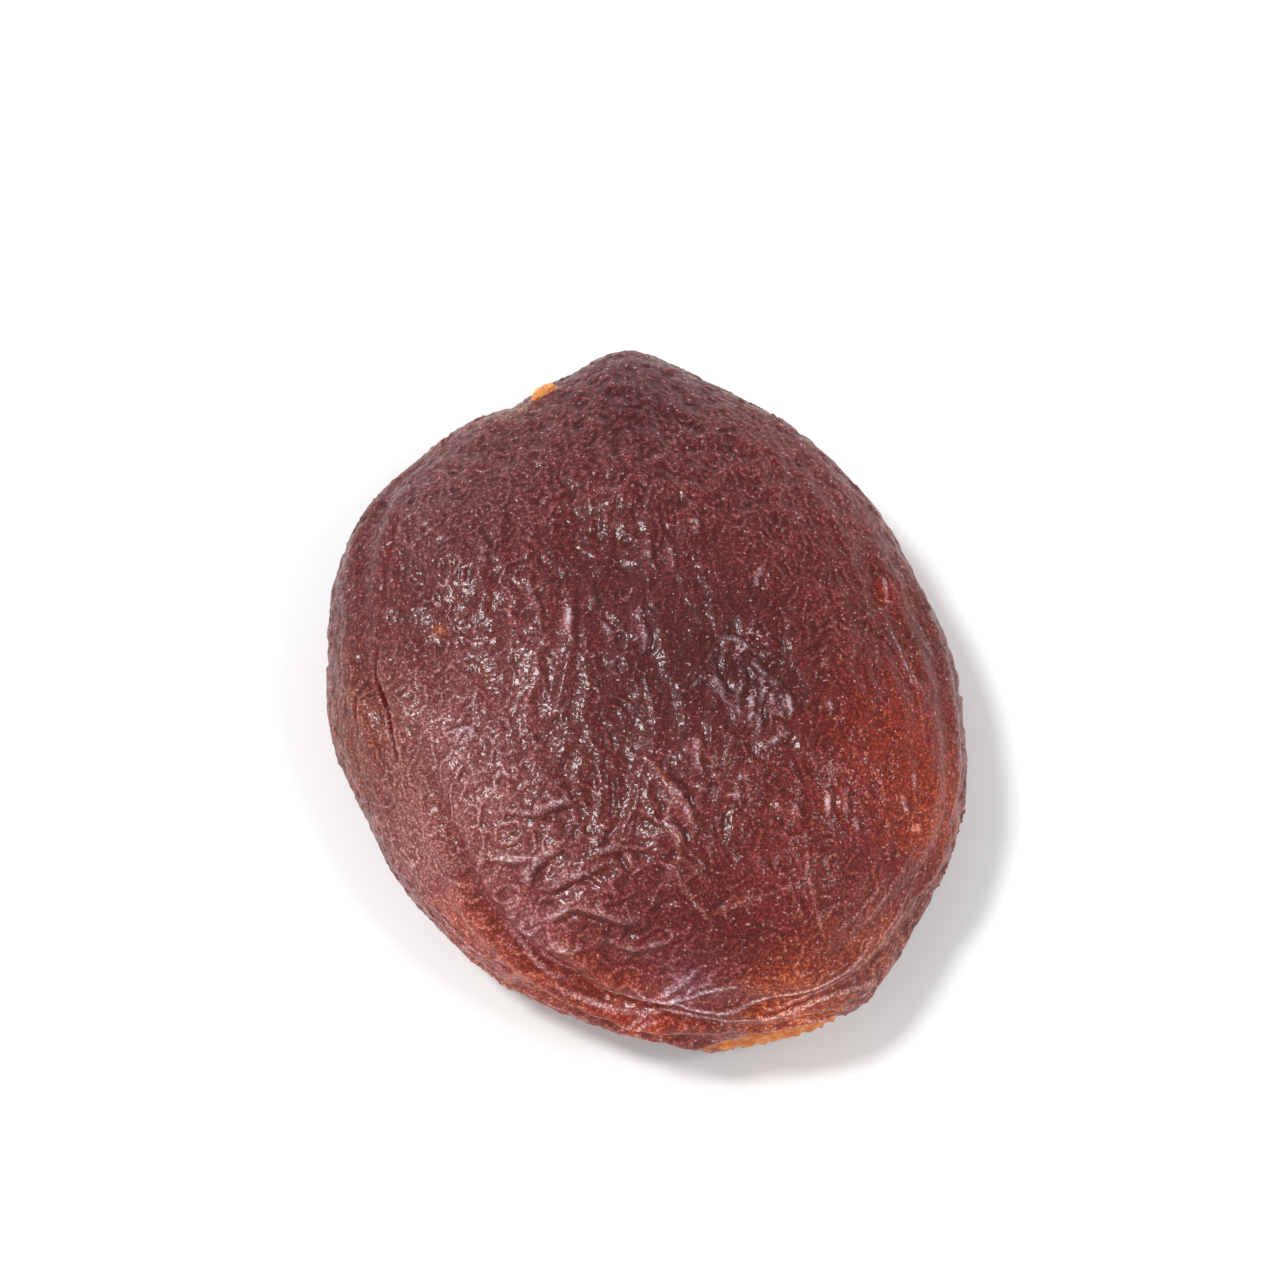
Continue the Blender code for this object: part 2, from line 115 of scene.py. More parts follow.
# Dimples pressed in the upper face: (x, y, radius, depth). They end above this band of levels.
FACE_DIMPLES = (
    (5.4, -0.4, 2.2, 0.35),
    (-3.0, 7.5, 3.4, 0.25),
    (-10.5, 2.0, 3.0, 0.25),
    (2.5, -12.0, 3.0, 0.25),
)
FACE_EDGE = (0.5, 2.5)

# The wrinkles over all the skin: ridges this wide and this many times as long, which wander a little,
# on a low swell. They run along Y on the faces, and along the rim round the side and the tip's upper
# part, where they are this share lower.
RIDGE_WIDTH, RIDGE_STRETCH, RIDGE_HEIGHT, RIDGE_SHARPNESS = 1.45, 2.6, 0.15, 2.2
WANDER_SIZE, WANDER = 3.625, 0.7
WANDER_PLACES = (Vector((11.3, 0.0, 0.0)), Vector((0.0, 23.7, 0.0)), Vector((0.0, 0.0, 31.1)))
RIM_BAND = 5.0
RIM_CALM = 0.5
TIP_PART, TIP_PART_LEVELS = (-2.0, -9.0), (12.0, 9.0)
SWELL_SIZE, SWELL_HEIGHT, SWELL_PLACE = 6.5, 0.45, Vector((5.0, 9.0, 2.0))

# The fine mesh: points along the disc's section, divisions of the icosahedron's edges, and how much
# closer its points lie on the upper face and the side than on the inner underside, between these levels.
SECTION_POINTS, DIVISIONS = 2001, 97
UPPER_CLOSENESS, LOWER_CLOSENESS = 1.0, 0.3
CLOSENESS_LEVELS = (-10.0, -4.0)

# The edge of the dome hangs over its crease by this much, over this width above the crease.
OVERHANG, OVERHANG_PLACE, OVERHANG_WIDTH = 0.20, 0.75, 0.75

# The grown wrinkles: a square chart of each face, the filters that grow ridges in it, how the ridges
# turn, vary in height and crumple, and the shares of soft waves and of crests. The charts of the two
# faces join between the last levels.
CHART_SIDE, CHART_PIXELS = 62.0, 900
UPPER_SEED, UNDER_SEED = 11, 12
SOFT_SPACINGS, CREST_SPACINGS = (0.55, 0.90, 1.45), (1.15, 1.90, 3.10)
RUN_DIRECTIONS = 8
BAND_SPREAD, DIRECTION_SPREAD = 0.45, 28.0
GROWTH_ROUNDS, GROWTH_GAIN = 2, 1.0
TURN_SIZE, TURN = 2.4, 32.0
UNEVEN_SIZE, UNEVEN = 1.8, 0.80
UNEVEN_SOFT, UNEVEN_CRESTS = (0.2, 2.0), (0.0, 2.6)
CRUMPLE_SIZE, CRUMPLE = 0.42, 0.15
SOFT_SHARE, CREST_SHARE, CREST_SPREAD, CREST_SHARPNESS = 0.35, 1.8, 2.0, 2.4
CHART_JOIN = (-4.4, -3.0)

# How the wrinkles run on the upper face, near some places of the photo: the place, the direction of
# the ridges there, how strictly they keep to it, their spacing and their height. Then the reach of a
# place, how many pixels long its direction is measured over, and what stands for no weight and share.
WRINKLE_RUNS = (
    ((640, 420), 90, 0.15, 0.60, 0.060),
    ((560, 470), 80, 0.22, 0.62, 0.055),
    ((700, 470), 110, 0.22, 0.62, 0.055),
    ((470, 520), 70, 0.22, 0.70, 0.042),
    ((560, 580), 85, 0.45, 0.80, 0.025),
    ((650, 590), 90, 0.52, 0.75, 0.018),
    ((740, 560), 95, 0.38, 0.70, 0.022),
    ((810, 520), 120, 0.52, 0.65, 0.045),
    ((880, 600), 118, 0.68, 0.75, 0.040),
    ((930, 720), 95, 0.68, 0.75, 0.019),
    ((850, 700), 95, 0.38, 0.70, 0.028),
    ((770, 690), 75, 0.45, 0.80, 0.033),
    ((650, 690), 90, 0.30, 0.75, 0.015),
    ((530, 690), 75, 0.22, 0.80, 0.024),
    ((440, 640), 80, 0.15, 0.65, 0.032),
    ((350, 680), 90, 0.15, 0.60, 0.026),
    ((470, 760), 60, 0.22, 0.85, 0.027),
    ((560, 790), 120, 0.38, 1.00, 0.033),
    ((520, 850), 40, 0.38, 1.15, 0.044),
    ((600, 870), 25, 0.45, 1.25, 0.037),
    ((690, 810), 112, 0.52, 1.05, 0.030),
    ((790, 800), 95, 0.45, 0.95, 0.026),
    ((600, 940), 5, 0.52, 1.20, 0.046),
    ((710, 940), 15, 0.38, 1.10, 0.031),
    ((830, 900), 60, 0.22, 1.00, 0.022),
    ((900, 850), 80, 0.38, 0.90, 0.021),
    ((400, 830), 120, 0.22, 0.70, 0.022),
    ((450, 930), 140, 0.38, 0.75, 0.025),
    ((600, 1020), 165, 0.60, 0.80, 0.025),
    ((760, 1030), 5, 0.60, 0.80, 0.025),
    ((880, 970), 40, 0.60, 0.80, 0.025),
)
RUN_REACH, RUN_STEP = 1.6, 24.0
NO_WEIGHT, NO_SHARE = 1e-9, 1e-6

# Beyond these levels of the side, and on the underside, the wrinkles run along the rim, and towards
# the middle inside these two distances from it.
SIDE_BAND = (-1.0, 4.0)
SIDE_SPACING, SIDE_ORDER, SIDE_HEIGHT = 0.90, 0.55, 0.055
UNDER_TURN = (8.0, 13.0)
UNDER_SPACING, UNDER_ORDER, UNDER_HEIGHT = 1.05, 0.4, 0.055

# Ridges seen in the photo: the height, the half width, the depth of the valley beside it as a share
# of the height (on the left of the line, or on the right if negative), and the line of photo places.
RIDGES = (
    (0.24, 0.20, -0.8, ((524, 885), (533, 866), (545, 855), (557, 848))),
    (0.22, 0.20, -0.8, ((550, 888), (564, 881), (579, 874), (598, 867))),
    (0.25, 0.20, -0.7, (
        (541, 920), (556, 915), (568, 908), (579, 907), (589, 910), (606, 916), (621, 920),
        (642, 918))),
    (0.14, 0.22, -0.6, ((549, 935), (558, 947), (572, 950), (589, 947))),
    (0.20, 0.19, -0.6, ((609, 941), (621, 947), (635, 951), (648, 946), (669, 942))),
    (0.19, 0.20, -0.6, (
        (510, 811), (533, 814), (545, 809), (554, 803), (567, 801), (564, 794), (554, 782))),
    (0.22, 0.23, 0.6, ((667, 782), (679, 795), (688, 813), (692, 828))),
    (0.19, 0.22, 0.6, ((667, 822), (677, 834), (682, 847))),
    (0.14, 0.23, -0.5, ((589, 855), (606, 849), (623, 847), (631, 862), (638, 874))),
    (0.16, 0.19, -0.5, ((497, 857), (514, 860), (537, 857))),
    (0.19, 0.29, 0.3, ((666, 866), (673, 868), (682, 866))),
    (0.17, 0.27, 0.4, ((696, 736), (695, 751), (698, 771))),
    (0.13, 0.20, -0.4, ((596, 901), (610, 897))),
    (0.13, 0.23, 0.5, ((568, 595), (569, 612), (568, 629), (572, 646))),
    (0.11, 0.20, 0.5, ((527, 572), (528, 587), (537, 610), (537, 622))),
    (0.11, 0.20, 0.5, ((478, 535), (485, 547), (484, 564))),
    (0.09, 0.20, 0.5, ((646, 537), (648, 560), (657, 574))),
    (0.13, 0.25, 0.6, ((636, 604), (637, 622), (644, 637), (642, 650))),
    (0.10, 0.19, 0.5, ((621, 660), (614, 658), (611, 664), (613, 672), (621, 679))),
    (0.10, 0.19, 0.5, ((669, 545), (672, 562), (673, 576))),
    (0.09, 0.19, 0.5, ((696, 518), (696, 535))),
    (0.10, 0.19, 0.5, ((709, 652), (713, 671), (719, 688))),
    (0.06, 0.17, 0.4, ((598, 492), (602, 489), (615, 489), (617, 482))),
    (0.14, 0.19, 0.5, ((449, 734), (459, 731), (470, 729), (476, 738))),
    (0.10, 0.19, 0.5, ((602, 623), (610, 633), (611, 645))),
    (0.09, 0.18, 0.5, ((592, 595), (593, 610))),
    (0.08, 0.22, 0.4, ((735, 658), (753, 661), (766, 673), (778, 686), (782, 702), (781, 716))),
    (0.05, 0.20, 0.4, ((718, 640), (731, 637), (743, 642), (757, 656))),
    (0.10, 0.24, 0.3, ((709, 675), (718, 684), (724, 698), (732, 707))),
    (0.09, 0.22, 0.3, ((762, 676), (763, 690), (760, 702))),
    (0.09, 0.22, 0.3, ((757, 708), (759, 722), (757, 736))),
    (0.09, 0.22, 0.3, ((780, 712), (781, 727), (778, 738))),
    (0.09, 0.22, 0.3, ((735, 690), (736, 704), (740, 716))),
    (0.10, 0.24, 0.3, ((741, 667), (741, 682), (737, 694))),
    (0.10, 0.24, 0.3, ((751, 692), (752, 709), (749, 725))),
    (0.10, 0.24, 0.3, ((772, 697), (772, 709), (779, 719))),
    (0.10, 0.24, 0.3, ((788, 694), (789, 709), (787, 722))),
    (0.14, 0.19, 0.5, ((760, 568), (755, 585))),
    (0.13, 0.19, 0.5, ((829, 701), (829, 713))),
    (0.16, 0.19, 0.5, ((826, 791), (828, 803), (827, 816))),
    (0.16, 0.19, 0.5, ((845, 786), (845, 803), (846, 816))),
    (0.14, 0.19, 0.5, ((854, 816), (858, 832))),
    (0.13, 0.17, 0.5, ((917, 822), (919, 834))),
    (0.09, 0.17, 0.4, ((913, 763), (914, 790))),
    (0.09, 0.17, 0.4, ((901, 795), (907, 809), (911, 824))),
    (0.13, 0.17, 0.5, ((888, 617), (898, 640), (910, 673), (919, 682), (925, 698))),
    (0.09, 0.17, 0.4, ((915, 614), (927, 625), (932, 640), (944, 667))),
    (0.11, 0.17, 0.4, ((883, 571), (888, 589), (890, 606))),
    (0.13, 0.19, 0.5, ((793, 803), (800, 818))),
    (0.14, 0.20, 0.5, ((703, 782), (704, 793))),
    (0.14, 0.23, 0.5, ((735, 784), (737, 801))),
    (0.09, 0.17, -0.4, ((766, 747), (778, 738), (788, 732))),
    (0.17, 0.20, -0.7, ((660, 996), (679, 982), (690, 976))),
    (0.16, 0.20, -0.6, ((643, 998), (668, 1000), (690, 992), (710, 985))),
)
SLITS = (
    (0.55, 0.16, (
        (375, 646), (373, 662), (372, 676), (378, 690), (384, 702), (388, 716), (392, 738),
        (397, 760))),
    (0.25, 0.14, ((358, 694), (357, 706), (358, 720))),
    (0.16, 0.25, ((380, 600), (385, 570), (391, 545), (400, 510))),
)
# Lines along the crests of the rim's folds, painted pale as a painted sheen: the height, the half width, how
# pale, and the places.
RIM_LINES = (
    (0.13, 0.13, 0.9, (
        (531, 949), (542, 963), (561, 973), (584, 983), (607, 992), (637, 999), (656, 1002),
        (672, 1003), (688, 1009), (704, 1014), (724, 1016), (738, 1012), (756, 1005), (776, 998),
        (796, 995), (813, 990), (831, 980), (848, 969), (862, 954), (872, 938))),
    (0.14, 0.16, 1.0, (
        (636, 990), (648, 998), (664, 1000), (682, 1000), (704, 995), (724, 990), (738, 988))),
    (0.10, 0.12, 0.7, ((660, 996), (678, 989), (690, 981), (697, 972))),
    (0.11, 0.12, 0.8, (
        (640, 1018), (663, 1016), (680, 1019), (695, 1022), (712, 1024), (730, 1025), (747, 1023),
        (761, 1021), (784, 1014), (802, 1009), (819, 1002), (839, 995), (854, 989), (868, 980),
        (885, 968), (899, 955))),
    (0.08, 0.11, 0.5, ((770, 1013), (790, 1006), (808, 999), (826, 991), (843, 981), (858, 970))),
    (0.08, 0.11, 0.5, ((806, 1022), (824, 1017), (842, 1010), (860, 1001), (876, 990))),
    (0.10, 0.12, 0.6, ((546, 981), (570, 994), (592, 1004), (612, 1011), (644, 1017))),
    (0.10, 0.12, 0.7, ((592, 1017), (608, 1020), (622, 1022), (634, 1020), (646, 1016), (675, 1016))),
    (0.10, 0.12, 0.7, ((600, 1030), (622, 1030), (634, 1026), (646, 1021), (656, 1021))),
    (0.08, 0.12, 0.8, (
        (440, 936), (467, 955), (493, 977), (510, 989), (524, 998), (546, 1008), (576, 1021))),
    (0.08, 0.11, 0.5, ((505, 932), (520, 950), (534, 966), (548, 977), (570, 988))),
    (0.08, 0.11, 0.5, ((432, 905), (446, 925), (462, 941), (478, 954), (498, 968), (516, 980))),
    (0.04, 0.10, 0.2, ((852, 935), (872, 917), (890, 894), (904, 872), (917, 846))),
    (0.04, 0.10, 0.2, ((872, 948), (892, 926), (910, 900), (924, 872), (934, 846))),
    (0.04, 0.10, 0.2, ((838, 930), (856, 916), (872, 898), (886, 878))),
)

# How such a line is made: how far its ends are cut short, and in half widths, how far off its valley
# lies, how gentle its other side is and how far it reaches. How it is coloured: the depth at which a
# slit is wholly painted dark red, how pale the painted sheen on crests is over which half width, the
# levels over which the rim lines' painted sheen fades in, and the noise that breaks up the ridges' painted
# sheen.
RIDGE_TAPER, VALLEY_PLACE, GENTLE_SIDE, RIDGE_ROOM = 0.08, 1.7, 2.6, 3.0
SLIT_PAINT = 0.22
RIDGE_SHEEN, RIDGE_SHEEN_WIDTH = 0.40, 0.10
EDGE_SHEEN, EDGE_SHEEN_WIDTH, EDGE_SHEEN_LEVELS = 0.60, 0.08, (-1.5, 0.8)
BROKEN_SIZE, BROKEN = 0.55, (-0.15, 0.30)

# Where painted glints gather, pale specks that stand in for highlights: how strongly, over which half
# width, and the lines of photo places.
GLINT_LINE_LIFT, GLINT_LINE_WIDTH = 3.1, 0.20
PAINTED_GLINT_LINES = (
    ((510, 598), (509, 612), (513, 626)),
    ((563, 592), (566, 610), (568, 628), (572, 646)),
    ((640, 604), (643, 622), (646, 646)),
    ((758, 564), (764, 574), (767, 588)),
    ((732, 656), (742, 648), (750, 645)),
    ((750, 680), (752, 698), (750, 722)),
    ((757, 672), (766, 684), (771, 698), (776, 710)),
    ((788, 694), (789, 712)),
    ((494, 786), (504, 790)),
    ((696, 735), (697, 756)),
    ((594, 798), (602, 786)),
    ((741, 634), (752, 630), (764, 636), (772, 650)),
    ((826, 790), (830, 814)),
    ((513, 905), (520, 896), (528, 902)),
    ((552, 862), (560, 870), (566, 866)),
)

# Thin veins that stand a little out of the skin, each a line of photo places, and how strongly they
# take their own colour.
VEINS = (
    ((672, 826), (676, 842), (680, 858), (692, 869), (700, 876), (708, 882)),
    ((676, 872), (681, 885), (690, 897), (697, 906), (705, 914), (711, 922), (710, 930), (708, 938)),
    ((711, 921), (716, 912), (732, 905), (746, 900), (764, 896), (780, 890), (794, 884)),
    ((716, 914), (728, 908), (742, 905), (758, 904)),
    ((805, 828), (806, 848), (807, 870), (811, 888), (814, 905), (818, 919), (822, 932), (828, 942)),
    ((794, 900), (800, 912), (805, 925)),
    ((700, 740), (704, 752), (712, 764), (719, 778), (722, 792)),
    ((640, 755), (652, 762), (661, 775), (668, 790), (676, 800), (690, 806)),
    ((746, 762), (744, 775), (748, 788), (746, 800)),
    ((905, 640), (912, 660), (917, 684), (921, 710), (922, 736)),
)
VEIN_HEIGHT, VEIN_HALF_WIDTH, VEIN_SHARE = 0.040, 0.10, 0.35

# The skin's colours, as linear red, green and blue. Each patch lies about a place of the photo, with
# a reach in millimetres and a strength. Most are the skin's own tones; some are painted light, as marked.
SKIN_BROWN = (0.120, 0.016, 0.014)
SKIN_PATCHES = {
    "dark_top": ((640, 400), 5.0, 0.8, (0.075, 0.009, 0.011)),
    "violet_upper_left": ((440, 500), 5.5, 0.7, (0.111, 0.025, 0.027)),
    # Redder skin, and partly a painted glow of light shining through the thin right edge.
    "red_glow_right": ((905, 760), 5.5, 0.9, (0.186, 0.011, 0.003)),
    "red_lower_right": ((830, 880), 6.0, 0.7, (0.136, 0.012, 0.008)),
    "dull_middle": ((680, 640), 7.0, 0.8, (0.060, 0.007, 0.007)),
    "dark_arc": ((765, 690), 2.4, 0.6, (0.046, 0.005, 0.005)),
    # These two pale the left side: partly waxy bloom, partly painted sheen where the left side catches the
    # light.
    "sheen_and_bloom_left": ((440, 740), 5.0, 0.7, (0.220, 0.068, 0.064)),
    "sheen_and_bloom_lower_left": ((440, 850), 4.5, 0.8, (0.262, 0.073, 0.062)),
    "brown_left_rim": ((352, 740), 4.0, 0.8, (0.160, 0.028, 0.011)),
    "orange_front": ((520, 985), 4.0, 0.8, (0.340, 0.045, 0.019)),
    "red_band_left": ((462, 930), 2.2, 0.7, (0.310, 0.045, 0.024)),
    "red_band": ((640, 1026), 3.0, 0.8, (0.340, 0.038, 0.015)),
    "orange_tip": ((790, 1020), 3.0, 0.9, (0.400, 0.066, 0.020)),
    "orange_edge": ((885, 945), 2.6, 0.6, (0.330, 0.060, 0.028)),
    # Orange skin, and partly a painted glow of light shining through the thin right edge.
    "orange_glow_right_edge": ((938, 820), 2.8, 0.7, (0.290, 0.034, 0.010)),
    # These two are painted sheen, the pale lavender reflection on the slope above the ledge and on a rim
    # fold, partly waxy bloom.
    "lavender_sheen_slope": ((525, 925), 1.6, 0.5, (0.260, 0.085, 0.095)),
    "lavender_sheen_fold": ((690, 988), 1.8, 0.4, (0.240, 0.080, 0.100)),
    "red_upper_right": ((890, 600), 4.0, 0.6, (0.120, 0.015, 0.008)),
    "red_patch": ((895, 594), 1.2, 0.8, (0.204, 0.014, 0.008)),
    "orange_dot": ((436, 627), 0.35, 0.9, (0.382, 0.082, 0.027)),
    "olive_notch": ((515, 410), 1.2, 0.7, (0.170, 0.055, 0.017)),
}

# Behind and beneath, where the photo shows nothing, the skin mottles between two more colours: below
# the first levels, and beyond these distances behind the middle below the second.
BACK_ORANGE, BACK_VIOLET = (0.179, 0.024, 0.011), (0.081, 0.014, 0.016)
MOTTLE_SIZE, MOTTLE_CONTRAST = 9.0, 2.0
BACK_LEVELS, BACK_DISTANCES, BACK_EDGE = (2.0, -6.0), (4.0, 12.0), (4.0, 0.0)

# What valleys and crests multiply the colour by: painted shade that darkens and reddens the valleys,
# and painted sheen, partly waxy bloom, that pales the crests. They act where the relief has this depth
# or height, and where a point bulges this far in or out between its neighbours; below these levels
# the bulges count for less. The solid's own valleys count by a share. Then the colours of the painted
# sheen on crest lines, of slits, a dark red that is partly painted shade, and of veins.
VALLEY_SHADE, CREST_SHEEN = (0.84, 0.70, 0.68), (1.25, 1.70, 1.80)
VALLEY_DEPTH, CREST_HEIGHT, SOLID_SHARE = -0.12, 0.14, 0.5
DEEP_BULGE, HIGH_BULGE = -0.018, 0.018
UNDER_LEVELS, UNDER_CALM = (-2.0, -5.0), 0.6
CREST_LINE_SHEEN, SLIT_RED, VEIN_TINT = (0.46, 0.31, 0.34), (0.125, 0.008, 0.005), (0.30, 0.090, 0.060)

# The flesh in the torn mouth: its two colours; the lens where it shows, an ellipse at a roundness of
# 2; the rags of its edge, and the share of the lens beyond which it fades; its fibres, in plan and up
# the side, and finer ones; and the pit in its middle, which waves a little, and is red and hides the
# flesh between these shares of its depth.
FLESH_ORANGE, FLESH_PALE = (0.470, 0.115, 0.016), (0.620, 0.215, 0.045)
FLESH_TURN, FLESH_HALF_ANGLE, FLESH_ROUNDNESS = 1.5, 15.0, 1.35
FLESH_LEVEL, FLESH_HALF_HEIGHT, FLESH_FADE = -1.7, 2.5, 0.70
FLESH_RAGS = ((1.6, 0.30), (0.5, 0.15))
FIBRE_SIZES, FIBRE_HEIGHT = (0.30, 0.30, 0.90), 0.20
FINE_FIBRE_PITCH, FINE_FIBRE_SHARE = 2.1, 0.5
PIT_LEVEL, PIT_HALF_ANGLE, PIT_HALF_HEIGHT, PIT_DEPTH = -1.3, 6.0, 0.40, 0.75
PIT_WAVE, PIT_WAVE_PITCH = 0.3, 2.2
PIT_RED, PIT_HIDES = (0.2, 0.8), (0.15, 0.7)

# The skin's grain: blotches, dark and pale specks, the dimples of the waxy coat, which make it glint,
# and sparse painted glints, pale specks that stand in for highlights. Each has its size, what it
# multiplies or mixes the colour with, and the range of noise over which it comes in, to which crests
# add their share, a painted highlight on crests and painted shade in valleys.
NOISE_MIDDLE = (0.35, 0.65)
BLOTCH_SIZE, BLOTCH_SHARE, BLOTCHES = 2.2, 0.50, (0.72, 0.60, 0.62)
SPECKLE_SIZE, SPECKLE_ROUGHNESS, SPECKLE_HEIGHT, CREST_SPECK_SHADING = 0.14, 0.80, 0.020, 0.06
DARK_SPECKS, DARK_RANGE = (0.56, 0.49, 0.49), (0.50, 0.30)
LIGHT_SPECKS, LIGHT_RANGE = (2.25, 3.75, 3.85), (0.50, 0.71)
GLINT_SIZE, GLINT_HEIGHT = 0.24, 0.038
PAINTED_GLINT, PAINTED_GLINT_SIZE, CREST_PAINTED_GLINT = (0.55, 0.40, 0.43), 0.15, 0.07
PAINTED_GLINT_RANGE, PAINTED_GLINT_SHARE = (0.74, 0.84), 0.60

# The finish of the skin and the stub, with the skin's roughness between its specks and on them, and
# the colour fibres of the torn flesh and the stub.
SKIN_ROUGHNESS = (0.50, 0.26)
SKIN_FINISH = {
    "Specular IOR Level": 0.16,
    "Subsurface Weight": 0.25,
    "Subsurface Radius": (1.0, 0.30, 0.18),
    "Subsurface Scale": 0.4 * MM,
    "Coat Weight": 0.235,
    "Coat Roughness": 0.12,
    "Sheen Weight": 0.015,
    "Sheen Roughness": 0.4,
    "Sheen Tint": (0.86, 0.80, 1.0),
}
STUB_FINISH = {
    "Roughness": 0.42,
    "Subsurface Weight": 0.4,
    "Subsurface Radius": (1.0, 0.5, 0.25),
    "Subsurface Scale": 0.8 * MM,
}
TORN_FIBRE_SIZE, TORN_FIBRE_RANGE = 0.45, (0.40, 0.62)
STUB_FIBRE_SIZE, STUB_FIBRE_RANGE = 0.5, (0.38, 0.62)
STUB_BUMP, STUB_BUMP_STRENGTH = 0.05, 0.5

# The stub of flesh beside the notch: the photo places along it, half its length, width and
# thickness, the pitch, height and place of its lumps, and its paler colour.
STUB_PLACES = ((530, 401), (540, 396), (550, 391), (560, 386))
STUB_LENGTH, STUB_RADIUS, STUB_HEIGHT = 0.80, 0.34, 0.42
STUB_LUMPS = ((1.6, 0.35, Vector((3.0, 0.0, 7.0))), (5.0, 0.14, Vector((0.0, 0.0, 0.0))))
STUB_PALE = (0.80, 0.42, 0.15)

# The studio: the floor, the light all round, and soft lights as (right, up, back) of the camera's
# view from the fruit, their width and their power.
FLOOR_HALF_SIDE = 1.5
FLOOR_FINISH = {"Base Color": (0.92, 0.92, 0.92), "Roughness": 0.9, "Specular IOR Level": 0.1}
WORLD_SIDE, WORLD_TOP = 1.80, 0.22
SOFT_LIGHTS = {
    "key_light": ((-190.0, 190.0, 430.0), 90.0, 1.35),
    "side_light": ((230.0, 90.0, 450.0), 90.0, 0.4),
}


def smooth_step(low, high, value):
    """A soft step from 0 at the one end to 1 at the other."""
    share = np.clip((value - low) / (high - low), 0.0, 1.0)
    return share * share * (3.0 - 2.0 * share)


def bell(distance, width):
    """A soft hump of height 1."""
    return np.exp(-((distance / width) ** 2))


def angle_between(angle, middle):
    """How far each angle is from the middle one, from -180 to 180."""
    return (angle - middle + 180.0) % 360.0 - 180.0


def through(stations, values, at):
    """A smooth curve through the values at the stations, which are in rising order, read at each place."""
    slopes = np.gradient(values, stations)
    last = np.clip(np.searchsorted(stations, at) - 1, 0, len(stations) - 2)
    step = stations[last + 1] - stations[last]
    share = np.clip((at - stations[last]) / step, 0.0, 1.0)
    start, end = values[last], values[last + 1]
    leave, arrive = slopes[last] * step, slopes[last + 1] * step
    curve = 2.0 * (start - end) + leave + arrive
    bend = 3.0 * (end - start) - 2.0 * leave - arrive
    return ((curve * share + bend) * share + leave) * share + start


def plan_place(radius, angle):
    """The x and the y at a radius and an angle."""
    return radius * np.cos(np.radians(angle)), radius * np.sin(np.radians(angle))


def outline_radius(angle):
    """The plan outline's radius at each angle."""
    count = len(OUTLINE_RADII)
    around = range(-2, count + 3)
    stations = np.array(around) * 360.0 / count
    radii = np.array([OUTLINE_RADII[i % count] for i in around])
    radius = through(stations, radii, angle % 360.0)
    notch = NOTCH_DEPTH * bell(angle_between(angle, NOTCH_ANGLE), NOTCH_HALF_ANGLE)
    peak = PEAK_HEIGHT * bell(angle_between(angle, PEAK_ANGLE), PEAK_HALF_ANGLE)
    return radius - notch + peak


def meridian():
    """The disc's section from the top of the dome to the middle of the underside.

    Gives four arrays along it: the share of the skin's area above each point, the plan radius as a
    share of the outline's, the height over the widest line, and the level.
    """
    turn = np.linspace(0.0, math.pi, SECTION_POINTS)
    upper = turn <= math.pi / 2
    power = 2.0 / np.where(upper, DOME_SQUARENESS, BELLY_SQUARENESS)
    share = np.clip(np.sin(turn), 0.0, 1.0) ** power
    height = np.abs(np.cos(turn)) ** power * np.where(upper, DOME_HEIGHT, -BELLY_DEPTH)
    steps = np.hypot(np.diff(share * MEAN_RADIUS), np.diff(height))
    travelled = np.concatenate([[0.0], np.cumsum(steps)])
    level = np.interp(math.pi / 2, turn, travelled) - travelled
    closeness = LOWER_CLOSENESS + (UPPER_CLOSENESS - LOWER_CLOSENESS) * smooth_step(*CLOSENESS_LEVELS, level)
    density = share * closeness
    area = np.concatenate([[0.0], np.cumsum(steps * density[1:] + steps * density[:-1])])
    return area / area[-1], share, height, level


def lay_points(directions):
    """Each direction of the unit sphere laid on the smooth disc, evenly but for its closeness.

    Gives the points, and each one's angle, level and share of the outline's radius.
    """
    area, shares, heights, levels = meridian()
    above = np.clip((1.0 - directions[:, 2]) / 2.0, 0.0, 1.0)
    share = np.interp(above, area, shares)
    height = np.interp(above, area, heights)
    level = np.interp(above, area, levels)
    angle = np.degrees(np.arctan2(directions[:, 1], directions[:, 0]))
    height = height + broad_form(angle, level, share * MEAN_RADIUS)
    x, y = plan_place(outline_radius(angle) * share, angle)
    return np.stack([x, y, height], axis=1), angle, level, share


def broad_form(angle, level, plan_radius):
    """How far the shelf of the rim drops, and the hollow and the ring of the underside rise."""
    on_shelf = bell(angle_between(angle, SHELF_ANGLE), SHELF_HALF_ANGLE)
    shelf = -SHELF_DROP * on_shelf * bell(level - SHELF_LEVEL, SHELF_WIDTH)
    inside = 1.0 - smooth_step(HOLLOW_FLOOR_RADIUS, HOLLOW_RADIUS, plan_radius)
    hollow = HOLLOW_DEPTH * inside * (level < 0.0)
    ring = smooth_step(RING_RADIUS, HOLLOW_RADIUS, plan_radius) * smooth_step(0.0, RING_LEVEL, level)
    lobes = -LOBE_SWING * ring * np.cos(np.radians(LOBES * (angle - LOBE_TURN)))
    return shelf + hollow + lobes


def crease_section(across, width):
    """The section of a crease of depth 1: a sharp valley between two soft shoulders."""
    shoulders = bell(np.abs(across) - SHOULDER_DISTANCE * width, width)
    return SHOULDER_HEIGHT * shoulders - bell(across, width)


def crease_at(stations, angle):
    """The level and the depth at each angle of one crease of the rim."""
    angles, levels, depths = (np.array(column, float) for column in zip(*stations))
    middle = (angles[0] + angles[-1]) / 2.0
    at = middle + angle_between(angle, middle)
    inside = (at > angles[0]) & (at < angles[-1])
    depth = np.where(inside, through(angles, depths, at), 0.0)
    return through(angles, levels, at), np.maximum(depth, 0.0)


def rim_crease(stations, angle, level):
    """The displacement that one crease of the rim gives."""
    middle, depth = crease_at(stations, angle)
    return depth * crease_section(level - middle, CREASE_WIDTH)


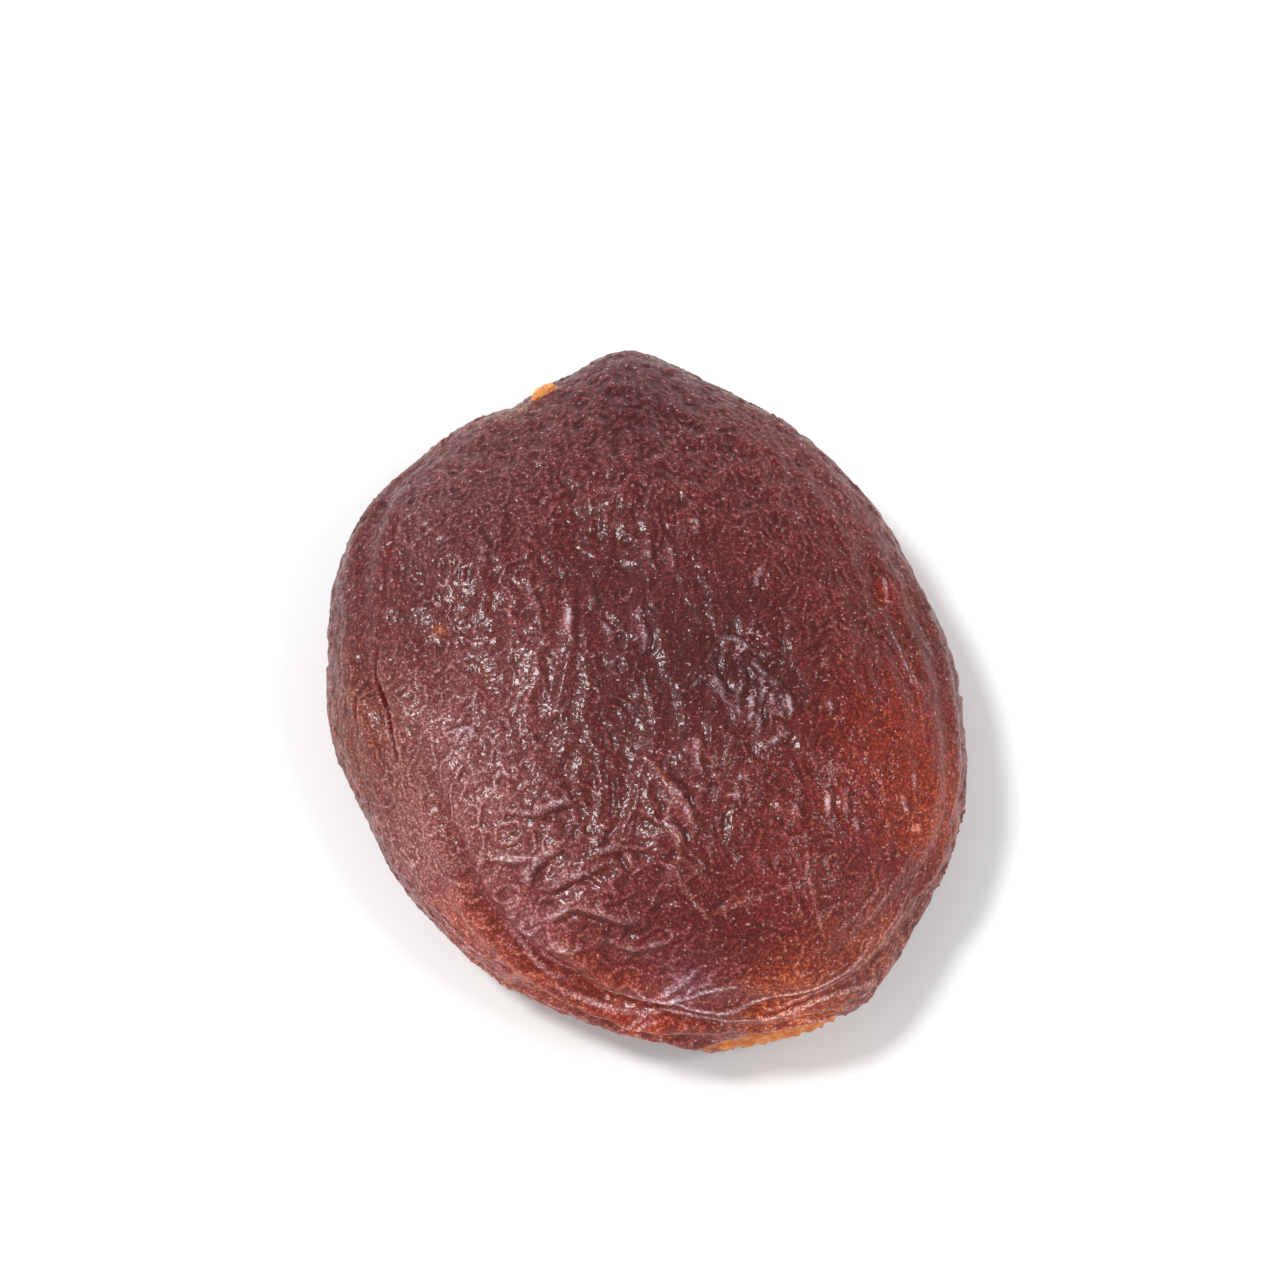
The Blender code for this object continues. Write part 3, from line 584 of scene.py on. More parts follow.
def side_creases():
    """Creases round the side and under the rim, as lists of stations."""
    draw = np.random.default_rng(SIDE_SEED)
    made = []
    for number in range(SIDE_CREASES):
        start = number * SIDE_STEP + draw.uniform(-SIDE_START_SPREAD, SIDE_START_SPREAD)
        span = draw.uniform(*SIDE_SPANS)
        level = draw.uniform(*SIDE_LEVELS)
        drift = draw.uniform(-SIDE_DRIFT, SIDE_DRIFT)
        depth = draw.uniform(*SIDE_DEPTHS)
        wave = draw.uniform(-SIDE_WAVE, SIDE_WAVE, len(SIDE_SWELL))
        stations = []
        for place, swell in enumerate(SIDE_SWELL):
            share = place / (len(SIDE_SWELL) - 1)
            height = level + drift * (share - 0.5) + wave[place]
            stations.append((start + span * share, height, depth * swell))
        made.append(stations)
    return made


def belly_folds(angle, plan_radius):
    """Folds of the underside, which run from its ring in to the hollow."""
    draw = np.random.default_rng(BELLY_SEED)
    total = np.zeros_like(angle)
    for number in range(BELLY_FOLDS):
        middle = 360.0 * number / BELLY_FOLDS + draw.uniform(-BELLY_ANGLE_SPREAD, BELLY_ANGLE_SPREAD)
        lean = draw.uniform(-BELLY_LEAN, BELLY_LEAN)
        inner, outer = draw.uniform(*BELLY_INNER_ENDS), draw.uniform(*BELLY_OUTER_ENDS)
        depth = BELLY_FOLD_DEPTH * draw.uniform(*BELLY_FOLD_SHARES)
        turned = angle_between(angle, middle + lean * (plan_radius - BELLY_LEAN_RADIUS))
        across = np.radians(turned) * plan_radius
        begins = smooth_step(inner, inner + BELLY_INNER_FADE, plan_radius)
        ends = smooth_step(outer - BELLY_OUTER_FADE, outer, plan_radius)
        total += depth * begins * (1.0 - ends) * crease_section(across, BELLY_FOLD_WIDTH)
    return total


def mouth(angle, level):
    """The torn mouth at the tip: sunk, with a raised lip."""
    turn = angle_between(angle, MOUTH_ANGLE) / MOUTH_HALF_ANGLE
    reach = np.hypot(turn, (level - MOUTH_LEVEL) / MOUTH_HALF_HEIGHT)
    sunken = MOUTH_DEPTH * (1.0 - smooth_step(MOUTH_FLOOR, 1.0, reach))
    return LIP_HEIGHT * bell(reach - LIP_PLACE, LIP_WIDTH) - sunken


def wrinkles(points, angle, level):
    """The wrinkles of the skin, and the low swell under them."""
    tip_part = smooth_step(*TIP_PART, points[:, 1]) * smooth_step(*TIP_PART_LEVELS, np.abs(level))
    by_rim = np.maximum(bell(level, RIM_BAND), tip_part)
    rim_x, rim_y = plan_place(MEAN_RADIUS / (RIDGE_STRETCH * RIDGE_WIDTH), angle)
    total = np.empty(len(points))
    for i, point in enumerate(points):
        here = Vector(point)
        wander = Vector([WANDER * noise.noise(here / WANDER_SIZE + place) for place in WANDER_PLACES])
        upright = noise.noise(Vector((here.x, here.y / RIDGE_STRETCH, here.z)) / RIDGE_WIDTH + wander)
        along_rim = noise.noise(Vector((rim_x[i], rim_y[i], level[i] / RIDGE_WIDTH)) + wander)
        ridge = 0.5 - min(1.0, RIDGE_SHARPNESS * abs(upright + (along_rim - upright) * by_rim[i]))
        swell = noise.noise(here / SWELL_SIZE + SWELL_PLACE)
        total[i] = RIDGE_HEIGHT * (1.0 - RIM_CALM * by_rim[i]) * ridge + SWELL_HEIGHT * swell
    return total


def face_dimples(points, level):
    """The dimples pressed in the upper face."""
    total = np.zeros(len(points))
    for x, y, radius, depth in FACE_DIMPLES:
        total -= depth * bell(np.hypot(points[:, 0] - x, points[:, 1] - y), radius)
    return total * smooth_step(*FACE_EDGE, level)


def solid_relief(points, angle, level, share):
    """How far the solid's folds, creases and wrinkles stand out of the smooth disc."""
    total = wrinkles(points, angle, level) + face_dimples(points, level)
    total += belly_folds(angle, share * MEAN_RADIUS) * (level < 0.0)
    for stations in RIM_CREASES.values():
        total += rim_crease(stations, angle, level)
    for stations in side_creases():
        total += rim_crease(stations, angle, level)
    return total + mouth(angle, level)


def overhang(angle, level):
    """How far the edge of the dome leans out over its crease, down along the skin."""
    middle, depth = crease_at(RIM_CREASES["dome_edge"], angle)
    return OVERHANG * depth * bell(level - middle - OVERHANG_PLACE, OVERHANG_WIDTH)


def camera_axes():
    """The camera's place, and its right, up and back directions."""
    tilt = math.radians(CAMERA_ELEVATION)
    right = Vector((1.0, 0.0, 0.0))
    up = Vector((0.0, math.sin(tilt), math.cos(tilt)))
    back = Vector((0.0, -math.cos(tilt), math.sin(tilt)))
    aim = Vector((0.0, 0.0, FRUIT_MIDDLE_HEIGHT)) - AIM_LEFT * right + AIM_UP * up
    return aim + CAMERA_DISTANCE * back, right, up, back


def seen_at(tree, place):
    """Where the photo place meets the tree's surface, or else its nearest point, and the face there."""
    origin, right, up, back = camera_axes()
    pixel = SENSOR / LENS / PHOTO_SIDE
    across, above = (place[0] - PHOTO_SIDE / 2) * pixel, (PHOTO_SIDE / 2 - place[1]) * pixel
    ray = across * right + above * up - back
    point, _, face, _ = tree.ray_cast(origin, ray.normalized())
    if point is None:
        point, _, face, _ = tree.find_nearest(origin + CAMERA_DISTANCE * ray)
    return point, face


def line_on(tree, places):
    """A line of photo places as an array of points on the surface."""
    return np.array([seen_at(tree, place)[0] for place in places])


def line_relief(points, line, height, width, valley):
    """A ridge along a line of points, which swells in its middle.

    Where it has a valley beside it, its other side falls off gently.
    """
    gentle = GENTLE_SIDE if valley else 1.0
    room = RIDGE_ROOM * gentle * width
    low, high = line.min(axis=0) - room, line.max(axis=0) + room
    near = np.flatnonzero(((points > low) & (points < high)).all(axis=1))
    here = points[near]
    best = np.full(len(near), np.inf)
    beside, place = np.zeros(len(near)), np.zeros(len(near))
    for number, (start, end) in enumerate(zip(line[:-1], line[1:])):
        run = end - start
        share = np.clip((here - start) @ run / (run @ run), 0.0, 1.0)
        gap = here - start - share[:, None] * run
        reach = np.linalg.norm(gap, axis=1)
        to_left = np.array([-run[1], run[0]]) / np.hypot(run[0], run[1])
        nearer = reach < best
        best = np.where(nearer, reach, best)
        beside = np.where(nearer, gap[:, :2] @ to_left, beside)
        place = np.where(nearer, (number + share) / (len(line) - 1), place)
    swell = np.sin(math.pi * (RIDGE_TAPER + (1.0 - 2.0 * RIDGE_TAPER) * place))
    beyond = np.sqrt(np.maximum(best ** 2 - beside ** 2, 0.0))
    to_valley = beside * math.copysign(1.0, valley)
    from_valley = np.hypot(to_valley - VALLEY_PLACE * width, beyond)
    crest = bell(best, np.where(to_valley > 0.0, width, gentle * width))
    total = np.zeros(len(points))
    total[near] = height * swell * (crest - abs(valley) * bell(from_valley, width))
    return total


def painted(points, tree, width, lines, strengths=None):
    """How strongly each point lies on the crest of one of some lines of photo places."""
    total = np.zeros(len(points))
    for places, strength in zip(lines, strengths or [1.0] * len(lines)):
        crest = line_relief(points, line_on(tree, places), 1.0, width, 0.0)
        total = np.maximum(total, strength * crest)
    return total


def chart_waves():
    """The log of the pitch, and the ridges' direction, of each wave of a chart's spectrum."""
    step = CHART_SIDE / CHART_PIXELS
    across = np.fft.rfftfreq(CHART_PIXELS, step)[None, :]
    along = np.fft.fftfreq(CHART_PIXELS, step)[:, None]
    pitch = np.log(np.maximum(np.hypot(across, along), 1.0 / CHART_SIDE))
    return pitch, np.degrees(np.arctan2(along, across)) + 90.0


def soft_chart(draw, size):
    """A chart of soft random waves about this many millimetres across, with a spread of 1."""
    pitch, _ = chart_waves()
    field = draw.standard_normal((CHART_PIXELS, CHART_PIXELS))
    field = np.fft.irfft2(np.fft.rfft2(field) * bell(pitch + math.log(size), BAND_SPREAD), s=field.shape)
    return field / field.std()


def grow_pattern(draw, direction, order, spacing, stations):
    """A pattern of waves grown from noise over a chart, from -1 to 1.

    Each round keeps what fits the direction and the spacing that are wanted at each place.
    """
    pitch, heading = chart_waves()
    middles = np.log(stations)
    place = np.interp(np.log(spacing), middles, np.arange(len(middles)))
    field = draw.standard_normal((CHART_PIXELS, CHART_PIXELS))
    for _ in range(GROWTH_ROUNDS):
        spectrum = np.fft.rfft2(field)
        grown = np.zeros_like(field)
        for band, middle in enumerate(middles):
            in_band = spectrum * bell(pitch + middle, BAND_SPREAD)
            band_share = np.maximum(1.0 - np.abs(place - band), 0.0)
            for turn in np.arange(RUN_DIRECTIONS) * 180.0 / RUN_DIRECTIONS:
                lobe = bell((heading - turn + 90.0) % 180.0 - 90.0, DIRECTION_SPREAD)
                fitting = bell((direction - turn + 90.0) % 180.0 - 90.0, DIRECTION_SPREAD)
                wanted = order * fitting + (1.0 - order) / 4.0
                grown += band_share * wanted * np.fft.irfft2(in_band * lobe, s=field.shape)
        field = np.tanh(GROWTH_GAIN * grown / grown.std())
    return field


def wrinkle_chart(seed, direction, order, spacing, height):
    """A chart of the skin's relief: a net of sharp crests, softer wrinkles and a fine crumple."""
    draw = np.random.default_rng(seed)
    direction = direction + TURN * soft_chart(draw, TURN_SIZE)
    soft = grow_pattern(draw, direction, order, spacing, SOFT_SPACINGS)
    coarse = grow_pattern(draw, direction, order, CREST_SPREAD * spacing, CREST_SPACINGS)
    crests = 0.5 - np.minimum(1.0, CREST_SHARPNESS * np.abs(coarse))
    soft *= np.clip(1.0 + UNEVEN * soft_chart(draw, UNEVEN_SIZE), *UNEVEN_SOFT)
    crests *= np.clip(1.0 + UNEVEN * soft_chart(draw, UNEVEN_SIZE), *UNEVEN_CRESTS)
    return height * (SOFT_SHARE * soft + CREST_SHARE * crests + CRUMPLE * soft_chart(draw, CRUMPLE_SIZE))


def read_chart(chart, x, y):
    """The chart's values at places in millimetres from its middle, smoothly between its pixels."""
    column, row = (x / CHART_SIDE + 0.5) * CHART_PIXELS, (y / CHART_SIDE + 0.5) * CHART_PIXELS
    left, low = np.floor(column).astype(int), np.floor(row).astype(int)
    u, v = column - left, row - low
    lower = chart[low, left] * (1.0 - u) + chart[low, left + 1] * u
    upper = chart[low + 1, left] * (1.0 - u) + chart[low + 1, left + 1] * u
    return lower * (1.0 - v) + upper * v


def chart_grid():
    """The places of a chart's pixels in millimetres from its middle, and their angle and reach."""
    line = (np.arange(CHART_PIXELS) / CHART_PIXELS - 0.5) * CHART_SIDE
    x, y = np.meshgrid(line, line)
    return x, y, np.degrees(np.arctan2(y, x)), np.hypot(x, y)


def blended(weights, directions, others):
    """The weighted mean of some directions, which mean the same half a turn on, and of other values."""
    total = sum(weights)
    turned = [np.radians(2.0 * direction) for direction in directions]
    cosine = sum(weight * np.cos(turn) for weight, turn in zip(weights, turned))
    sine = sum(weight * np.sin(turn) for weight, turn in zip(weights, turned))
    means = [sum(weight * value for weight, value in zip(weights, column)) / total for column in zip(*others)]
    return np.degrees(np.arctan2(sine, cosine)) / 2.0, means


def chart_places(angle, level, apex):
    """Where points of the skin lie on the chart of the face whose middle has the apex level."""
    return plan_place(np.abs(apex - level) * outline_radius(angle) / MEAN_RADIUS, angle)


def upper_wrinkles(apex, stations):
    """The grown wrinkles of the upper face and the side over the upper chart."""
    x, y, angle, reach = chart_grid()
    weights = [np.exp(-np.hypot(x - at[0], y - at[1]) / RUN_REACH) + NO_WEIGHT for at, *_ in stations]
    direction, means = blended(weights, [run[1] for run in stations], [run[2:] for run in stations])
    level = apex - reach * MEAN_RADIUS / outline_radius(angle)
    on_face = smooth_step(*SIDE_BAND, level) + NO_SHARE
    side = SIDE_ORDER, SIDE_SPACING, SIDE_HEIGHT
    direction, (order, spacing, height) = blended(
        [on_face, 1.0 - on_face], [direction, angle + 90.0], [means, side])
    return wrinkle_chart(UPPER_SEED, direction, order, spacing, height)


def under_wrinkles():
    """The grown wrinkles of the underside over its chart."""
    _, _, angle, reach = chart_grid()
    outer = smooth_step(*UNDER_TURN, reach)
    direction, _ = blended([outer + NO_SHARE, 1.0 - outer], [angle + 90.0, angle], [(), ()])
    spacing = np.full_like(angle, UNDER_SPACING)
    return wrinkle_chart(UNDER_SEED, direction, UNDER_ORDER, spacing, UNDER_HEIGHT)


def run_stations(tree, mesh, chart_x, chart_y):
    """The places of WRINKLE_RUNS and their directions on the upper chart."""
    made = []
    for place, direction, *rest in WRINKLE_RUNS:
        turn = math.radians(direction)
        step = RUN_STEP * math.cos(turn), -RUN_STEP * math.sin(turn)
        ends = []
        for sign in (-0.5, 0.5):
            _, face = seen_at(tree, (place[0] + sign * step[0], place[1] + sign * step[1]))
            corners = list(mesh.polygons[face].vertices)
            ends.append(np.array([chart_x[corners].mean(), chart_y[corners].mean()]))
        run = ends[1] - ends[0]
        made.append(((ends[0] + ends[1]) / 2.0, math.degrees(math.atan2(run[1], run[0])), *rest))
    return made


def grown_relief(tree, mesh, angle, level):
    """The relief of the grown wrinkles at each point."""
    top, bottom = level.max(), level.min()
    upper_x, upper_y = chart_places(angle, level, top)
    under_x, under_y = chart_places(angle, level, bottom)
    upper_chart = upper_wrinkles(top, run_stations(tree, mesh, upper_x, upper_y))
    above = smooth_step(*CHART_JOIN, level)
    outside = above == 0.0
    upper_x[outside], upper_y[outside] = 0.0, 0.0
    outside = above == 1.0
    under_x[outside], under_y[outside] = 0.0, 0.0
    under = read_chart(under_wrinkles(), under_x, under_y)
    return read_chart(upper_chart, upper_x, upper_y) * above + under * (1.0 - above)


def even_sphere():
    """An icosphere whose edges are divided evenly, so that its triangles are all nearly one size."""
    sphere = bmesh.new()
    bmesh.ops.create_icosphere(sphere, subdivisions=1, radius=1.0)
    bmesh.ops.subdivide_edges(sphere, edges=sphere.edges[:], cuts=DIVISIONS - 1, use_grid_fill=True)
    bmesh.ops.triangulate(sphere, faces=sphere.faces[:])
    for corner in sphere.verts:
        corner.co.normalize()
    mesh = bpy.data.meshes.new("skin")
    sphere.to_mesh(mesh)
    sphere.free()
    return mesh


def read_points(mesh, attribute="co"):
    """The mesh's points, or their normals, as an array."""
    values = np.empty(len(mesh.vertices) * 3, np.float32)
    mesh.vertices.foreach_get(attribute, values)
    return values.reshape(-1, 3).astype(float)


def set_points(mesh, points):
    """Puts the mesh's points at these places."""
    mesh.vertices.foreach_set("co", points.astype(np.float32).ravel())
    mesh.update()


def surface_tree(mesh, unit=1.0):
    """The surface of a mesh whose points are in this unit, in millimetres, to cast rays at."""
    return BVHTree.FromPolygons([corner.co / unit for corner in mesh.vertices],
                                [face.vertices for face in mesh.polygons])


def resting_shift(points):
    """What is taken from points to centre them over the origin, their lowest places below height 0."""
    lowest, highest = points.min(axis=0), points.max(axis=0)
    middle = (lowest + highest) / 2.0
    return np.array([middle[0], middle[1], lowest[2] + FLAT_CUT])


def patch_strength(points, tree, place, reach):
    """How strongly each point belongs to a patch about a photo place."""
    middle, _ = seen_at(tree, place)
    return np.exp(-((np.linalg.norm(points - np.array(middle), axis=1) / reach) ** 2))


def skin_tint(points, tree, level, height, crest, lines):
    """Each point's colour: the photo's patches, a mottle behind, the painted shade of valleys and painted
    sheen of crests that the relief adds, and the lines' colours.
    """
    colour = np.tile(np.array(SKIN_BROWN), (len(points), 1))
    back = smooth_step(*BACK_DISTANCES, points[:, 1]) * smooth_step(*BACK_EDGE, level)
    behind = np.clip(smooth_step(*BACK_LEVELS, level) + back, 0.0, 1.0)
    mottle = np.array([noise.noise(Vector(point) / MOTTLE_SIZE) for point in points])
    for tone, contrast in ((BACK_ORANGE, MOTTLE_CONTRAST), (BACK_VIOLET, -MOTTLE_CONTRAST)):
        share = np.clip(contrast * mottle, 0.0, 1.0)
        colour += (behind * share)[:, None] * (np.array(tone) - colour)
    for place, reach, strength, tone in SKIN_PATCHES.values():
        share = strength * patch_strength(points, tree, place, reach)
        colour += share[:, None] * (np.array(tone) - colour)
    # Painted shade darkens the valleys and painted sheen pales the crests.
    for share, tone in ((height / VALLEY_DEPTH, VALLEY_SHADE), (height / CREST_HEIGHT, CREST_SHEEN),
                        (-crest, VALLEY_SHADE), (crest, CREST_SHEEN)):
        colour *= 1.0 + smooth_step(0.0, 1.0, share)[:, None] * (np.array(tone) - 1.0)
    for share, tone in lines:
        colour += share[:, None] * (np.array(tone) - colour)
    return colour


def broken(points, share):
    """The share of a colour where it isn't 0, broken up in patches."""
    kept = np.zeros(len(points))
    for i in np.flatnonzero(share > 0.01):
        kept[i] = noise.noise(Vector(points[i]) / BROKEN_SIZE)
    return share * smooth_step(*BROKEN, kept)


def bulging(mesh, height):
    """How far each point of a relief stands over the mean of those joined to it."""
    ends = np.empty(len(mesh.edges) * 2, np.int32)
    mesh.edges.foreach_get("vertices", ends)
    one, other = ends.reshape(-1, 2).T
    count = np.bincount(ends, minlength=len(height))
    around = np.bincount(one, height[other], len(height)) + np.bincount(other, height[one], len(height))
    return height - around / count


def flesh_share(points, angle, level):
    """Where the flesh shows in the torn mouth and under it: a lens with a ragged edge."""
    turn = np.abs(angle_between(angle, MOUTH_ANGLE + FLESH_TURN)) / FLESH_HALF_ANGLE
    rise = np.abs(level - FLESH_LEVEL) / FLESH_HALF_HEIGHT
    reach = (turn ** FLESH_ROUNDNESS + rise ** FLESH_ROUNDNESS) ** (1.0 / FLESH_ROUNDNESS)
    near = np.flatnonzero(reach < 2.0)
    for size, height in FLESH_RAGS:
        reach[near] += height * np.array([noise.noise(Vector(points[i]) / size) for i in near])
    return 1.0 - smooth_step(FLESH_FADE, 1.0, reach)


def flesh_fibres(points, flesh):
    """The relief of the torn flesh's fibres."""
    total = np.zeros(len(points))
    for i in np.flatnonzero(flesh > 0.01):
        here = Vector([place / size for place, size in zip(points[i], FIBRE_SIZES)])
        fine = FINE_FIBRE_SHARE * noise.noise(FINE_FIBRE_PITCH * here)
        total[i] = flesh[i] * FIBRE_HEIGHT * (noise.noise(here) + fine)
    return total


def pit_share(angle, level):
    """How deep the pit in the middle of the torn flesh is, as a share."""
    turn = angle_between(angle, MOUTH_ANGLE) / PIT_HALF_ANGLE
    wave = PIT_WAVE * np.sin(PIT_WAVE_PITCH * turn)
    return bell(turn, 1.0) * bell(level - PIT_LEVEL + wave, PIT_HALF_HEIGHT)


def add_attributes(mesh, tint, flesh, crest):
    """Stores each point's colour, its share of flesh and how far it is a crest, lifted further along the
    painted glint lines.
    """
    colours = np.concatenate([tint, np.ones((len(tint), 1))], axis=1).astype(np.float32)
    layer = mesh.color_attributes.new("skin_tint", "FLOAT_COLOR", "POINT")
    layer.data.foreach_set("color", colours.ravel())
    for name, values in (("flesh", flesh), ("crest", crest)):
        layer = mesh.attributes.new(name, "FLOAT", "POINT")
        layer.data.foreach_set("value", values.astype(np.float32))


class Nodes:
    """The node tree of a material or a world, with short calls to add and join its nodes."""

    def __init__(self, owner, shader="Principled BSDF"):
        owner.use_nodes = True
        self.owner = owner
        self.tree = owner.node_tree
        self.shader = self.tree.nodes[shader]

    def add(self, kind, settings=None, **inputs):
        """A node with its settings, and each input set to a value or joined to a node's output."""
        node = self.tree.nodes.new(kind)
        for key, value in (settings or {}).items():
            setattr(node, key, value)
        for key, value in inputs.items():
            self.set(node, key, value)
        return node

    def set(self, node, key, value):
        """Sets or joins one input. A colour may be given without its alpha."""
        socket = node.inputs[key]
        if isinstance(value, bpy.types.NodeSocket):
            self.tree.links.new(value, socket)
        elif socket.type == "RGBA":
            socket.default_value = (*value, 1.0)
        else:
            socket.default_value = value

    def finish(self, settings):
        """Sets some of the shader's inputs."""
        for key, value in settings.items():
            self.set(self.shader, key, value)

    def bump(self, key, height, distance, strength=1.0):
        """Joins a relief of this height in millimetres to one of the shader's normals."""
        node = self.add("ShaderNodeBump", Strength=strength, Distance=distance * MM, Height=height)
        self.set(self.shader, key, node.outputs[0])

    def place(self):
        """Each point's place on the object."""
        return self.add("ShaderNodeTexCoord").outputs["Object"]

    def attribute(self, name, output):
        """One of the mesh's own values."""
        return self.add("ShaderNodeAttribute", {"attribute_name": name}).outputs[output]


def cells(nodes, place, size, detail=2.0, roughness=0.5):
    """Soft noise about a half, with cells of this size in millimetres."""
    return nodes.add("ShaderNodeTexNoise", Vector=place, Scale=1.0 / (size * MM), Detail=detail,
                     Roughness=roughness).outputs[0]


def filled(nodes, node, values):
    """The node's outputs, once its inputs are filled by these keys and values."""
    for key, value in values:
        nodes.set(node, key, value)
    return node.outputs


def mixed(nodes, kind, factor, one, other):
    """Two colours mixed or multiplied."""
    node = nodes.add("ShaderNodeMix", {"data_type": "RGBA", "blend_type": kind})
    return filled(nodes, node, ((0, factor), (6, one), (7, other)))[2]


def ranged(nodes, value, low, high, start=0.0, end=1.0):
    """A value brought softly from one range to another."""
    node = nodes.add("ShaderNodeMapRange", {"interpolation_type": "SMOOTHSTEP"}, Value=value)
    return filled(nodes, node, (("From Min", low), ("From Max", high), ("To Min", start), ("To Max", end)))[0]


def lifted(nodes, crest, share, value):
    """A value with this share of the crests added."""
    node = nodes.add("ShaderNodeMath", {"operation": "MULTIPLY_ADD"})
    return filled(nodes, node, ((0, crest), (1, share), (2, value)))[0]


def skin_material():
    """Thin translucent skin over dark flesh, waxy and finely speckled, with painted glints on its crests, and
    flesh where it is torn.
    """
    nodes = Nodes(bpy.data.materials.new("dried_skin_looks"))
    place = nodes.place()
    crest = nodes.attribute("crest", "Fac")
    blotch = ranged(nodes, cells(nodes, place, BLOTCH_SIZE), *NOISE_MIDDLE, 0.0, BLOTCH_SHARE)
    speckle = cells(nodes, place, SPECKLE_SIZE, 1.0, SPECKLE_ROUGHNESS)
    # Crests lift the specks and the painted glints: painted highlight on crests, painted shade in valleys.
    specks = lifted(nodes, crest, CREST_SPECK_SHADING, speckle)
    glint_noise = lifted(nodes, crest, CREST_PAINTED_GLINT, cells(nodes, place, PAINTED_GLINT_SIZE, 0.0))
    skin = nodes.attribute("skin_tint", "Color")
    for kind, factor, tone in (("MULTIPLY", blotch, BLOTCHES),
                               ("MULTIPLY", ranged(nodes, specks, *DARK_RANGE), DARK_SPECKS),
                               ("MULTIPLY", ranged(nodes, specks, *LIGHT_RANGE), LIGHT_SPECKS),
                               ("MIX", ranged(nodes, glint_noise, *PAINTED_GLINT_RANGE, 0.0, PAINTED_GLINT_SHARE), PAINTED_GLINT)):
        skin = mixed(nodes, kind, factor, skin, tone)
    fibre = ranged(nodes, cells(nodes, place, TORN_FIBRE_SIZE, 3.0), *TORN_FIBRE_RANGE)
    torn = mixed(nodes, "MIX", fibre, FLESH_ORANGE, FLESH_PALE)
    nodes.finish(SKIN_FINISH)
    nodes.finish({
        "Base Color": mixed(nodes, "MIX", nodes.attribute("flesh", "Fac"), skin, torn),
        "Roughness": ranged(nodes, speckle, *NOISE_MIDDLE, *SKIN_ROUGHNESS),
    })
    nodes.bump("Normal", speckle, SPECKLE_HEIGHT)
    nodes.bump("Coat Normal", cells(nodes, place, GLINT_SIZE, 0.0), GLINT_HEIGHT)
    return nodes.owner


def stub_material():
    """Moist dried flesh in soft fibres, paler than the mouth's."""
    nodes = Nodes(bpy.data.materials.new("stub_flesh"))
    fibre = cells(nodes, nodes.place(), STUB_FIBRE_SIZE, 3.0)
    colour = mixed(nodes, "MIX", ranged(nodes, fibre, *STUB_FIBRE_RANGE), FLESH_PALE, STUB_PALE)
    nodes.finish({**STUB_FINISH, "Base Color": colour})
    nodes.bump("Normal", fibre, STUB_BUMP, STUB_BUMP_STRENGTH)
    return nodes.owner


def shown(collection, name, mesh):
    """A piece that rides on the fruit's body, shaded smooth."""
    mesh.shade_smooth()
    piece = bpy.data.objects.new(name, mesh)
    collection.objects.link(piece)
    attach(piece, "root")
    return piece


def add_lines(points, tree, level, fine):
    """Adds the ridges, slits, rim lines and veins to the fine relief.

    Gives how strongly each point takes the painted sheen of the ridges' and rim lines' crests, how deep in a
    slit and how far on a vein it is, each with its colour.
    """
    for height, width, valley, places in RIDGES:
        fine += line_relief(points, line_on(tree, places), height, width, valley)
    # Slits are painted dark red, partly their own colour and partly a painted shade in their creases.
    slits = np.zeros(len(points))
    for depth, width, places in SLITS:
        slits -= line_relief(points, line_on(tree, places), depth, width, 0.0)
    fine += slits
    for height, width, _, places in RIM_LINES:
        fine += line_relief(points, line_on(tree, places), height, width, 0.0)
    veined = painted(points, tree, VEIN_HALF_WIDTH, VEINS)
    fine += VEIN_HEIGHT * veined
    # Painted sheen along the crests of ridges and rim lines: pale lines that stand in for their highlights.
    pale = painted(points, tree, RIDGE_SHEEN_WIDTH, [ridge[-1] for ridge in RIDGES])
    edge_sheen = painted(points, tree, EDGE_SHEEN_WIDTH, [line[-1] for line in RIM_LINES],
                    [line[-2] for line in RIM_LINES])
    edge_sheen *= smooth_step(*EDGE_SHEEN_LEVELS, level)
    return [(RIDGE_SHEEN * broken(points, pale), CREST_LINE_SHEEN), (EDGE_SHEEN * edge_sheen, CREST_LINE_SHEEN),
            (VEIN_SHARE * veined, VEIN_TINT), (np.clip(-slits / SLIT_PAINT, 0.0, 1.0), SLIT_RED)]


